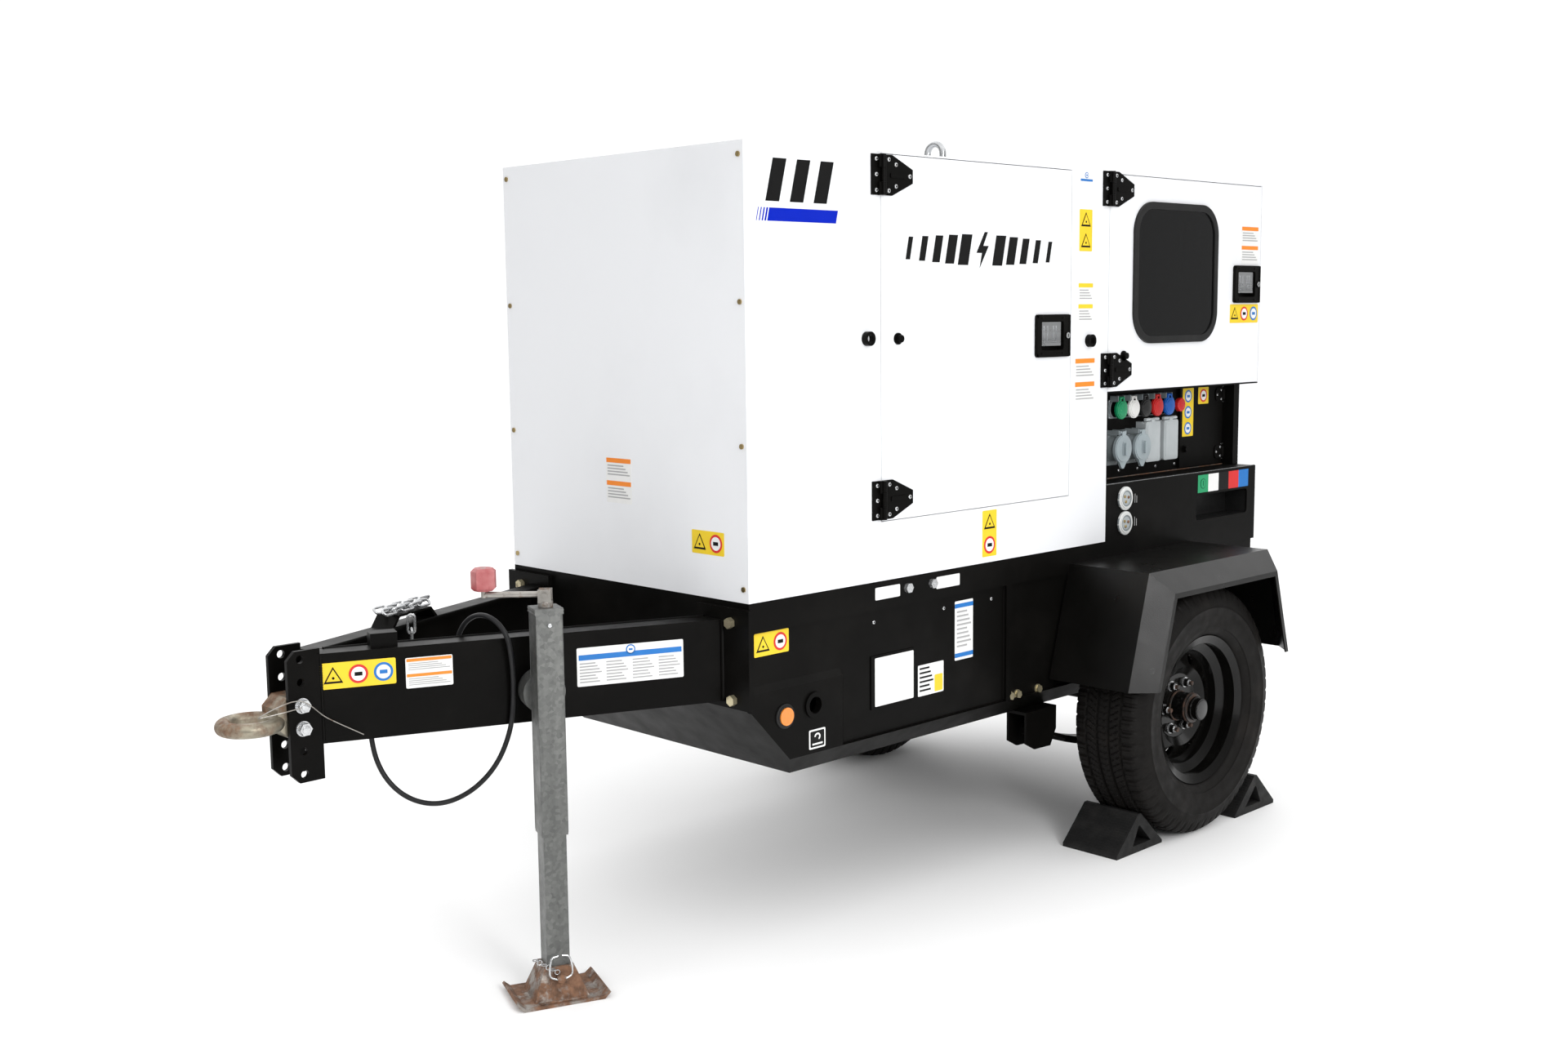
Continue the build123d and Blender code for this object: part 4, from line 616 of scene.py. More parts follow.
def paint_mixed_nodes():
    """Nodes that hold several separate solids of different stuff."""
    repaint("jack_leg", "foot_rust", lambda c: c.z < 0.0745)
    repaint("lights", "fitting_black", lambda c: c.x < 0 and abs(c.y) < HALF_WIDTH + 0.0031)
    repaint("lights", "red_lens", lambda c: c.x > 0)
    repaint("lights", "fitting_black", lambda c: 0 < c.x < CANOPY_REAR + 0.0071)
    repaint("fasteners", "yellow_zinc", lambda c: -0.6 < c.x < -0.56 and c.z < 0.81)
    repaint("fasteners", "brass", lambda c: -0.6 < c.x < -0.56 and c.z > 0.81)
    repaint("outlet_bodies", "inlet_white", lambda c: c.z < 0.97)
    repaint("outlet_bodies", "fitting_black", lambda c: c.z > 1.14)
    repaint("outlet_bodies", "box_grey", lambda c: 0.97 < c.z < 1.14 and c.x > GFCI_EDGE)
    repaint("outlet_bodies", "outlet_grey", lambda c: c.z < 0.97 and c.y > -HALF_WIDTH - 0.002)


# ---------------------------------------------------------------- camera, light and floor
CAMERA_PLACE = (-3.0559, -3.1173, 1.4569)
CAMERA_TURN = 44.207                     # degrees from +Y towards +X
CAMERA_PITCH = -7.173
CAMERA_ROLL = -0.598
CAMERA_LENS = 38.16                      # millimetres on a 36 mm sensor


def make_camera():
    turn, pitch, roll = (math.radians(a) for a in (CAMERA_TURN, CAMERA_PITCH, CAMERA_ROLL))
    ahead = Vector((math.sin(turn) * math.cos(pitch), math.cos(turn) * math.cos(pitch), math.sin(pitch)))
    right = ahead.cross(UP).normalized()
    above = right.cross(ahead)
    tilted_right = right * math.cos(roll) + above * math.sin(roll)
    tilted_above = above * math.cos(roll) - right * math.sin(roll)
    data = bpy.data.cameras.new("camera")
    data.lens = CAMERA_LENS
    data.sensor_width = 36.0
    data.clip_end = 100.0
    camera = add_object("camera", data)
    axes = Matrix((tilted_right, tilted_above, -ahead)).transposed()
    camera.matrix_world = Matrix.Translation(CAMERA_PLACE) @ axes.to_4x4()
    bpy.context.scene.camera = camera


def area_light(name, place, target, size, power):
    data = bpy.data.lights.new(name, "AREA")
    data.shape = "RECTANGLE"
    data.size, data.size_y = size
    data.energy = power
    light = add_object(name, data)
    light.location = place
    light.rotation_euler = (Vector(target) - Vector(place)).to_track_quat("-Z", "Y").to_euler()


def floor_material():
    """Pale floor that fades out round the machine, so that no edge shows."""
    material = surface("floor_pale", (0.9, 0.9, 0.9), (0.88, 0.88, 0.88), 0.6, (0.3, 0.8), (0.75, 0.85), 2.0)
    tree = material.node_tree
    shader = tree.nodes["Principled BSDF"]
    set_inputs(shader, Specular_IOR_Level=0.1)
    gradient = tree.nodes.new("ShaderNodeVectorMath")
    gradient.operation = "LENGTH"
    tree.links.new(place_of(tree), gradient.inputs[0])
    tree.links.new(remap(tree, gradient.outputs["Value"], *FLOOR_FADE, 1.0, 0.0), shader.inputs["Alpha"])
    return material


def studio_world():
    """White surround behind the machine, greyer on the side the front and the doors face."""
    world = bpy.data.worlds.new("studio")
    world.use_nodes = True
    tree = world.node_tree
    background = tree.nodes["Background"]
    set_inputs(background, Color=(1.0, 1.0, 1.0, 1.0))
    direction = tree.nodes.new("ShaderNodeTexCoord").outputs["Generated"]
    facing = tree.nodes.new("ShaderNodeVectorMath")
    facing.operation = "DOT_PRODUCT"
    facing.inputs[1].default_value = (math.sqrt(0.5), math.sqrt(0.5), 0.0)
    tree.links.new(direction, facing.inputs[0])
    level = remap(tree, facing.outputs["Value"], 0.3, 0.72, SURROUND_GREY, SURROUND_WHITE)
    tree.links.new(level, background.inputs["Strength"])
    bpy.context.scene.world = world


FLOOR_FADE = (4.5, 7.5)                  # metres from the middle of the floor
SURROUND_GREY = 0.36
SURROUND_WHITE = 1.1


def make_studio():
    """Pale floor, a broad light from above, and soft boxes by the camera, at the left and the rear."""
    floor_data = bpy.data.meshes.new("floor")
    reach = 8.0
    floor_data.from_pydata([(-reach, -reach, 0), (reach, -reach, 0), (reach, reach, 0), (-reach, reach, 0)],
                           [], [(0, 1, 2, 3)])
    floor = add_object("floor", floor_data)
    floor_data.materials.append(floor_material())
    studio_world()
    bpy.context.scene.view_settings.view_transform = "Standard"
    overhead = bpy.data.lights.new("overhead", "SUN")
    overhead.energy = 2.7
    overhead.angle = math.radians(136)
    add_object("overhead", overhead)
    area_light("key", (-1.4, -4.8, 2.6), (0.5, 0, 0.8), (1.8, 1.5), 90)
    area_light("low", (-1.9, -4.8, 1.8), (0.7, -0.6, 0.7), (0.7, 0.9), 34)
    area_light("left", (-6.0, 0.5, 3.0), (-0.5, 0, 0.9), (2.0, 2.4), 14)
    area_light("rim", (4.5, -3.5, 3.2), (0.9, -0.4, 0.7), (1.6, 2.0), 9)


# ---------------------------------------------------------------- cable
CABLE_DIAMETER = 0.011

# Route of the lighting cable: along the near member, height, and out of its face.
CABLE_ROUTE = (
    (0.3, 0.69, -0.095), (0.304, 0.752, -0.095), (0.326, 0.812, -0.066), (0.36, 0.826, -0.016),
    (0.392, 0.79, 0.024), (0.402, 0.722, 0.024), (0.404, 0.648, 0.018), (0.397, 0.572, 0.012),
    (0.366, 0.496, 0.004), (0.312, 0.44, -0.01), (0.246, 0.414, -0.028), (0.182, 0.43, -0.048),
    (0.135, 0.48, -0.068), (0.113, 0.556, -0.08), (0.112, 0.64, -0.08))


def trailer_cable():
    data = bpy.data.curves.new("lighting_cable", "CURVE")
    data.dimensions = "3D"
    data.bevel_depth = CABLE_DIAMETER / 2
    data.bevel_resolution = 6
    data.resolution_u = 24
    data.use_fill_caps = True
    spline = data.splines.new("NURBS")
    points = [MEMBER.at(s, height, out) for s, height, out in CABLE_ROUTE]
    spline.points.add(len(points) - 1)
    for point, place in zip(spline.points, points):
        point.co = (*place, 1.0)
    spline.order_u = 3
    spline.use_endpoint_u = True
    data.materials.append(MATERIALS["cable"])
    cable = add_object("lighting_cable", data)
    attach(cable, "chassis")
    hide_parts("trailer_cable")


# ---------------------------------------------------------------- tyres
TREAD_STEPS = 720
TREAD_HALF = 0.084
TREAD_PITCHES = 60
GROOVES = (-0.054, -0.018, 0.018, 0.054)


def tread_cut(step, y):
    """How deep the tread is cut at a step round the tyre and a distance from its middle."""
    if any(abs(y - centre) < 0.0046 for centre in GROOVES):
        return 0.0078
    pitch = step * TREAD_PITCHES / TREAD_STEPS
    across = abs(y)
    if across > 0.0586:
        phase = (pitch + 0.5 * (y > 0)) % 1.0
        return 0.0058 if phase < 0.17 else (0.0028 if 0.5 <= phase < 0.58 else 0.0)
    if across > 0.0226:
        phase = (pitch + (across - 0.0226) * 16.0) % 1.0
        return 0.0045 if phase < 0.09 or 0.5 <= phase < 0.58 else 0.0
    phase = (pitch * 2 + across * 22.0) % 1.0
    return 0.003 if phase < 0.17 else 0.0


def tyre_profile():
    """(y, radius, kind) across the tyre: sidewall, tread, sidewall, then the hidden inside."""
    side = [(0.072, 0.1915), (0.0795, 0.2095), (0.086, 0.21), (0.093, 0.2125), (0.099, 0.222),
            (0.1035, 0.232), (0.1052, 0.2325), (0.1062, 0.236), (0.1062, 0.238), (0.11, 0.252),
            (0.112, 0.268), (0.1122, 0.285), (0.1128, 0.286), (0.1128, 0.289), (0.1116, 0.29),
            (0.1098, 0.299), (0.107, 0.309), (0.1058, 0.311), (0.1052, 0.313), (0.101, 0.323),
            (0.097, 0.332), (0.0925, 0.339)]
    points = [(-y, radius, "wall") for y, radius in side]
    count = 56
    for step in range(count + 1):
        y = TREAD_HALF * (2 * step / count - 1)
        points.append((y, 0.35 - 0.0042 * (abs(y) / TREAD_HALF) ** 4, "tread"))
    points += [(y, radius, "wall") for y, radius in reversed(side)]
    inside = [(0.062, 0.1915), (0.09, 0.244), (0.092, 0.305), (0.078, 0.332)]
    points += [(y, radius, "inside") for y, radius in inside]
    points += [(-y, radius, "inside") for y, radius in reversed(inside)]
    return points


def tyre(name, side):
    """Trailer tyre with cut grooves, sipes, shoulder ribs and sidewall rings."""
    profile = tyre_profile()
    verts, faces = [], []
    count = len(profile)
    for step in range(TREAD_STEPS):
        turn = 2 * math.pi * step / TREAD_STEPS
        notch = (step * TREAD_PITCHES / TREAD_STEPS) % 1.0 < 0.17
        for y, radius, kind in profile:
            if kind == "tread":
                radius -= tread_cut(step, y)
            elif kind == "wall" and radius > 0.322:
                radius -= 0.0045 if (notch if y < 0 else (step + 6) % 12 < 2) else 0.0
            elif kind == "wall" and 0.3105 < radius < 0.3135:
                y *= 1.0 + 0.006 * (step % 4 < 2)
            verts.append((WHEEL_CENTRE.x + radius * math.cos(turn), y - side * WHEEL_CENTRE.y,
                          WHEEL_CENTRE.z + radius * math.sin(turn)))
    for step in range(TREAD_STEPS):
        first = step * count
        second = (step + 1) % TREAD_STEPS * count
        for index in range(count):
            after = (index + 1) % count
            faces.append((first + index, first + after, second + after, second + index))
    data = bpy.data.meshes.new(name)
    data.from_pydata(verts, [], faces)
    data.materials.append(MATERIALS["tyre"])
    data.shade_smooth()
    data.set_sharp_from_angle(angle=math.radians(40))
    piece = add_object(name, data)
    near = side < 0
    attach(piece, "near_wheel" if near else "far_wheel")
    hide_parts("tyre_near" if near else "tyre_far")


def wheel_details(name, body, side):
    """Nuts, studs, hub rings, grease cap and valve of one wheel."""
    face = Face((WHEEL_CENTRE.x, side * abs(WHEEL_CENTRE.y), WHEEL_CENTRE.z), (-side, 0, 0))
    piece = Piece(name, body, "bright_zinc", "hub_rust", "wheel_black", "cover_black", slot="wheel_black")
    for number in range(6):
        turn = math.radians(60 * number)
        a, b = STUD_CIRCLE * math.cos(turn), STUD_CIRCLE * math.sin(turn)
        piece.disc(face, a, b, 0.0085, 0.012, 0.0145, "bright_zinc", 24)
        piece.disc(face, a, b, 0.023, 0.027, 0.0105, "bright_zinc", 6, 0.008)
        piece.disc(face, a, b, 0.026, 0.036, 0.0063, "hub_rust", 18, soft=0.001)
    for out, radius in ((0.01, 0.0435), (0.052, 0.0425), (0.058, 0.0415)):
        piece.disc(face, 0, 0, out, out + 0.0045, radius, "hub_rust", 48, soft=0.001)
    piece.disc(face, 0, 0, 0.066, 0.0725, 0.0335, "wheel_black", 48, soft=0.002)
    piece.disc(face, 0, 0, 0.087, 0.0895, 0.027, "cover_black", 40, soft=0.001)
    piece.disc(face, 0, 0, 0.0885, 0.0893, 0.008, "bright_zinc", 24, soft=0.0004)
    turn = math.radians(205)
    a, b = VALVE_CIRCLE * math.cos(turn), VALVE_CIRCLE * math.sin(turn)
    piece.disc(face, a, b, 0.006, 0.036, 0.0055, "cover_black", 20)
    piece.disc(face, a, b, 0.035, 0.046, 0.0042, "cover_black", 16, soft=0.001)
    piece.done()


# ---------------------------------------------------------------- screws and hinges
def screw(piece, face, a, b, out, radius=0.0052, material="bright_zinc"):
    """Pan-head screw standing on a surface, with a black disc on its head as painted shade in its drive
    recess.
    """
    piece.disc(face, a, b, out - 0.0006, out + radius * 0.55, radius, material, 20,
               soft=radius * 0.35)
    # Black disc on the head: painted shade of the drive recess.
    piece.disc(face, a, b, out + radius * 0.5, out + radius * 0.58, radius * 0.45, "ink_black", 6)


HINGES = (("engine_door", -0.132, (1.011, 1.776), NEAR, 1), ("control_door", 0.793, (1.292, 1.784), NEAR, 1),
          ("service_door", -0.132, (1.011, 1.776), FAR, -1))


def hinge_screws():
    """Three screws in each fixed plate and five in each door leaf, and a cover strip on the leaf."""
    fixed = Piece("hinge_plate_screws", "chassis", "bright_zinc", "ink_black", "fitting_black")
    for body, x, heights, face, sign in HINGES:
        moving = Piece(f"{body}_hinge_screws", body, "bright_zinc", "ink_black", "fitting_black")
        for z in heights:
            for rise in (-0.036, 0.0, 0.036):
                screw(fixed, face, sign * (x - 0.019), z + rise, 0.004)
            for run, rise in ((0.049, -0.025), (0.049, 0.025), (0.098, 0.0), (0.024, -0.036), (0.024, 0.036)):
                screw(moving, face, sign * (x + run), z + rise, 0.004)
            low, high = sorted((sign * (x + 0.03), sign * (x + 0.088)))
            moving.plate(face, low, high, z - 0.006, z + 0.006, 0.004, 0.0038, 0.0062, "fitting_black")
        moving.done()
    fixed.done()


LATCHES = (("engine_door", "engine_latch", 0.536, 1.391, NEAR, 1),
           ("control_door", "control_latch", 1.508, 1.53, NEAR, 1),
           ("service_door", "service_latch", 0.536, 1.391, FAR, -1))


def latch_details():
    """Raised rim and rivets of each latch, its lock barrel with a black bar as painted shade in its key slot,
    and the ridges pressed into its paddle.
    """
    for door, paddle, x, z, face, sign in LATCHES:
        rim = Piece(f"{door}_latch_rim", door, "fitting_black", "bright_zinc", "ink_black",
                    slot="fitting_black")
        a0, a1 = sign * x - 0.073, sign * x + 0.073
        frame_plates(rim, face, a0, a1, z - 0.055, z + 0.055, 0.006, 0.008, 0.0028, 0.0066, 0.0082,
                     "fitting_black")
        for run in (-0.05, 0.04):
            for rise in (-0.0475, 0.0475):
                rim.disc(face, sign * (x + run), z + rise, 0.0075, 0.0092, 0.0034, "fitting_black", 16,
                         soft=0.001)
        lock = sign * (x + 0.06)
        rim.disc(face, lock, z, 0.0095, 0.0108, 0.0078, "bright_zinc", 28, soft=0.0006)
        # Black bar on the barrel: painted shade of the key slot.
        rim.plate(face, lock - 0.0012, lock + 0.0012, z - 0.004, z + 0.004, 0.0005, 0.0106, 0.0111,
                  "ink_black", steps=2)
        rim.done()
        ridges = Piece(f"{paddle}_ridges", paddle, "brushed", "ink_black", slot="paddle_steel")
        for run, half in ((-0.034, 0.004), (-0.016, 0.0065), (0.006, 0.0035), (0.021, 0.0065)):
            a0, a1 = sorted((sign * (x + run - half), sign * (x + run + half)))
            ridges.plate(face, a0, a1, z - 0.018, z + 0.026, 0.003, 0.0026, 0.0052, "brushed", steps=4)
        ridges.done()


# ---------------------------------------------------------------- labels by place
def slanted_bar(piece, a, width, low, high, lean, ink="ink_black"):
    """Bar on the near side that leans back by `lean` over its height."""
    outline = [(a, low), (a + width, low), (a + width + lean, high), (a + lean, high)]
    piece.prism(NEAR, outline, -0.0002, STICKER, ink)


def bolt_emblem(piece, a, b, height):
    """Plain lightning bolt between slanted bars, in black."""
    bolt = [(0.1, 0.5), (-0.26, -0.08), (-0.02, -0.08), (-0.12, -0.5), (0.28, 0.12), (0.04, 0.12),
            (0.24, 0.5)]
    piece.prism(NEAR, [(a + height * p, b + height * q) for p, q in bolt], -0.0002, STICKER, "ink_black")
    for side in (-1, 1):
        for number, thick in enumerate((0.04, 0.034, 0.028, 0.022, 0.016)):
            start = a + side * (height * 0.75 + 0.052 * number) - thick / 2
            share = 0.42 - 0.03 * number
            lean = height * 0.44 * share
            slanted_bar(piece, start - lean / 2, thick, b - height * share, b + height * share, lean)


def canopy_labels():
    piece = Piece("canopy_labels", "chassis", *INKS)
    sign_strip(piece, NEAR, 0.654, 0.712, 1.614, 1.725, "TT", True)
    sign_strip(piece, NEAR, 0.25, 0.308, 0.83, 0.95, "TR", True)
    caution_plate(piece, NEAR, 0.651, 0.72, 1.419, 1.531, "ink_yellow")
    caution_plate(piece, NEAR, 0.64, 0.732, 1.203, 1.329)
    sticker(piece, NEAR, 0.652, 0.716, 1.797, 1.824, "ink_white")
    round_sign(piece, NEAR, 0.684, 1.815, 0.016, "ink_blue", "ink_white")
    sticker(piece, NEAR, 0.657, 0.711, 1.799, 1.805, "ink_blue", 1, 0.001)
    for number in range(3):
        slanted_bar(piece, -0.505 + 0.075 * number, 0.042, 1.702, 1.796, 0.024)
    slanted_bar(piece, -0.5, 0.217, 1.659, 1.688, 0.007, "ink_stripe")
    for number in range(4):
        a, width = -0.534 + 0.0085 * number, 0.002 + 0.001 * number
        slanted_bar(piece, a, width, 1.659, 1.688, 0.007, "ink_stripe")
    caution_plate(piece, FRONT, -0.053, 0.043, 1.008, 1.118)
    sign_strip(piece, FRONT, 0.258, 0.368, 0.914, 0.968, "TR")
    sign_strip(piece, FAR, -0.308, -0.25, 0.83, 0.95, "TR", True)
    caution_plate(piece, FAR, -0.78, -0.69, 1.24, 1.35)
    sign_strip(piece, REAR, -0.26, -0.15, 1.0, 1.055, "TR")
    caution_plate(piece, REAR, 0.15, 0.24, 0.96, 1.07, "ink_orange")
    piece.done()


def door_labels():
    piece = Piece("engine_door_emblem", "engine_door", "ink_black")
    bolt_emblem(piece, 0.245, 1.609, 0.09)
    piece.done()
    piece = Piece("control_door_labels", "control_door", *INKS)
    caution_plate(piece, NEAR, 1.478, 1.576, 1.59, 1.704)
    sign_strip(piece, NEAR, 1.421, 1.583, 1.414, 1.47, "TRB")
    piece.done()
    piece = Piece("service_door_labels", "service_door", *INKS)
    sign_strip(piece, FAR, -0.2, -0.09, 1.02, 1.075, "TR")
    piece.done()


def base_labels():
    piece = Piece("base_labels", "chassis", *INKS)
    sign_strip(piece, BASE_SIDE, -0.546, -0.437, 0.688, 0.742, "TR")
    plate = near_plane(-HALF_WIDTH + PANEL_DEPTH - 0.003)
    sticker(piece, plate, -0.149, -0.008, 0.506, 0.626, "ink_white")
    sticker(piece, BASE_SIDE, 0.012, 0.11, 0.503, 0.582, "ink_white")
    sticker(piece, BASE_SIDE, 0.075, 0.106, 0.507, 0.55, "ink_yellow", 1)
    lines_of_print(piece, BASE_SIDE, 0.018, 0.07, 0.508, 0.575, 6, "ink_black")
    sticker(piece, BASE_SIDE, 0.154, 0.226, 0.573, 0.726, "ink_white")
    for low in (0.58, 0.708):
        sticker(piece, BASE_SIDE, 0.154, 0.226, low, low + 0.011, "ink_blue", 1, 0.001)
    lines_of_print(piece, BASE_SIDE, 0.162, 0.218, 0.6, 0.7, 9)
    sticker(piece, NEAR, -0.384, -0.33, 0.446, 0.492, "ink_white")
    sticker(piece, NEAR, -0.38, -0.334, 0.45, 0.488, "ink_black", 1)
    hook = [(-0.357 + 0.01 * math.cos(math.radians(t)), 0.474 + 0.009 * math.sin(math.radians(t)))
            for t in range(-60, 181, 20)]
    hook += [(-0.357 + 0.006 * math.cos(math.radians(t)), 0.474 + 0.005 * math.sin(math.radians(t)))
             for t in range(180, -61, -20)]
    piece.prism(NEAR, hook, STICKER * 2, STICKER * 3, "ink_white")
    sticker(piece, NEAR, -0.374, -0.34, 0.455, 0.459, "ink_white", 2, 0.001)
    for a0, a1 in ((-0.155, -0.066), (0.07, 0.16)):
        sticker(piece, NEAR, a0, a1, 0.77, 0.8, "ink_white")
    piece.done()


def recess_labels():
    """Signs on the terminal door, colour squares over the cable slot, and marks beside the inlets."""
    piece = Piece("recess_labels", "chassis", *INKS)
    width = 0.0572
    for number, ink in enumerate(("ink_green", "ink_white", "ink_black", "ink_red", "ink_blue")):
        a = 1.264 + width * number
        sticker(piece, NEAR, a, a + width, 0.912, 0.965, ink, 0, 0.001)
    piece.prism(NEAR, circle(1.2926, 0.9385, 0.015), STICKER, STICKER * 2, "ink_black")
    piece.prism(NEAR, circle(1.2926, 0.9385, 0.0135), STICKER * 2, STICKER * 3, "ink_green")
    sticker(piece, NEAR, 1.2918, 1.2934, 0.932, 0.947, "ink_black", 3, 0.0005)
    for low in (0.912, 0.846):
        for a, high in ((0.934, 0.026), (0.943, 0.02)):
            sticker(piece, NEAR, a, a + 0.0022, low, low + high, "ink_grey", 0, 0.0005)
    piece.done()
    low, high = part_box("terminal_door")
    door = Piece("terminal_door_labels", "terminal_door", "bright_zinc", "fitting_black", *INKS)
    front = near_plane(RECESS_BACK - 0.0095)
    sign_strip(door, front, low.x + 0.012, low.x + 0.072, 1.073, high.z - 0.003, "BBB", True)
    sign_strip(door, front, 1.404, 1.462, 1.168, high.z - 0.003, "R", True)
    for z in TERMINAL_HINGES:
        door.plate(front, 1.5, 1.547, z - 0.021, z + 0.021, 0.014, -0.0005, 0.0032, "fitting_black",
                   steps=6)
        for run, rise in ((1.508, 0.0), (1.53, -0.014), (1.53, 0.014)):
            screw(door, front, run, z + rise, 0.0032, 0.004)
    door.done()


def drawbar_labels():
    piece = Piece("drawbar_labels", "chassis", *INKS)
    sign_strip(piece, MEMBER, 0.006, 0.16, 0.697, 0.752, "TRB")
    caution_plate(piece, MEMBER, 0.18, 0.279, 0.683, 0.748)
    sticker(piece, MEMBER, 0.55, 0.796, 0.65, 0.736, "ink_white")
    sticker(piece, MEMBER, 0.554, 0.792, 0.708, 0.72, "ink_blue", 1, 0.001)
    round_sign(piece, MEMBER, 0.673, 0.724, 0.022, "ink_blue", "ink_white")
    for column in range(4):
        a = 0.556 + 0.0605 * column
        lines_of_print(piece, MEMBER, a, a + 0.05, 0.654, 0.702, 7)
    piece.done()


# ---------------------------------------------------------------- outlets
CAMLOCKS = ("green", "white", "black", "red", "blue")
INLET_X = 0.884
INLET_HEIGHTS = (0.859, 0.929)
CAMLOCK_LID, TWISTLOCK_LID, DUPLEX_LID = 0.028, 0.041, 0.059  # from the middle to the lower edge
CABLE_SLOT = (1.25, 1.552, 0.825, 0.91)  # x and z limits of the black box that paints shade in the slot


def lid_centre(node, radius):
    """Middle of a lid that hangs from a pin: (x, z), and its outer face's distance off the panel."""
    low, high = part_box(node)
    return (low.x + high.x) / 2, low.z + radius, RECESS_BACK - low.y


def cover_details():
    """Raised rims, grips, necks and tongues of the flip covers; each rides with its cover."""
    for colour in CAMLOCKS:
        node = f"camlock_cover_{colour}"
        finish = f"cover_{colour}"
        x, z, face = lid_centre(node, CAMLOCK_LID)
        piece = Piece(f"camlock_{colour}_rim", node, finish, slot=finish)
        piece.disc(OUTLETS, x, z - 0.001, face - 0.001, face + 0.003, 0.0245, finish, 48,
                   soft=0.0016)
        piece.disc(OUTLETS, x, z - 0.001, face + 0.0028, face + 0.0045, 0.0195, finish, 44,
                   soft=0.0012)
        for side in (-1, 1):
            neck = [(x + side * 0.0055, z + 0.018), (x + side * 0.0125, z + 0.018),
                    (x + side * 0.0105, z + 0.034), (x + side * 0.0055, z + 0.034)]
            piece.prism(OUTLETS, neck[::side], face - 0.0015, face + 0.0012, finish)
        piece.done()
    for name in ("front", "rear"):
        node = f"twistlock_cover_{name}"
        x, z, face = lid_centre(node, TWISTLOCK_LID)
        piece = Piece(f"twistlock_{name}_grip", node, "twist_grey", slot="cover_grey")
        piece.disc(OUTLETS, x, z, face - 0.001, face + 0.0022, 0.037, "twist_grey", 56, soft=0.0012)
        for half_a, half_b, low, high in ((0.0085, 0.021, 0.0018, 0.0034), (0.0045, 0.0175, 0.0032, 0.012)):
            piece.plate(OUTLETS, x - half_a, x + half_a, z - half_b, z + half_b, half_a * 0.9,
                        face + low, face + high, "twist_grey", steps=5)
        tongue = [(x - 0.005, z - 0.056), (x + 0.005, z - 0.056), (x + 0.019, z - 0.036),
                  (x - 0.019, z - 0.036)]
        piece.prism(OUTLETS, tongue, face - 0.0085, face - 0.001, "twist_grey")
        piece.plate(OUTLETS, x - 0.009, x + 0.009, z + 0.03, z + 0.0505, 0.004, face - 0.002,
                    face + 0.0015, "twist_grey", steps=4)
        piece.done()
    for name in ("front", "rear"):
        node = f"gfci_cover_{name}"
        x, z, face = lid_centre(node, DUPLEX_LID)
        piece = Piece(f"duplex_{name}_rib", node, "box_grey", slot="cover_light_grey")
        for half_a, half_b, out in ((0.0345, 0.0555, 0.0012), (0.029, 0.05, 0.0022)):
            piece.plate(OUTLETS, x - half_a, x + half_a, z - half_b, z + half_b, 0.004,
                        face - 0.001, face + out, "box_grey", steps=4)
        for side in (-1, 1):
            piece.rod(OUTLETS.at(x + side * 0.012, z + 0.065, face - 0.006),
                      OUTLETS.at(x + side * 0.034, z + 0.065, face - 0.006), 0.0048, "box_grey", 20)
        piece.done()


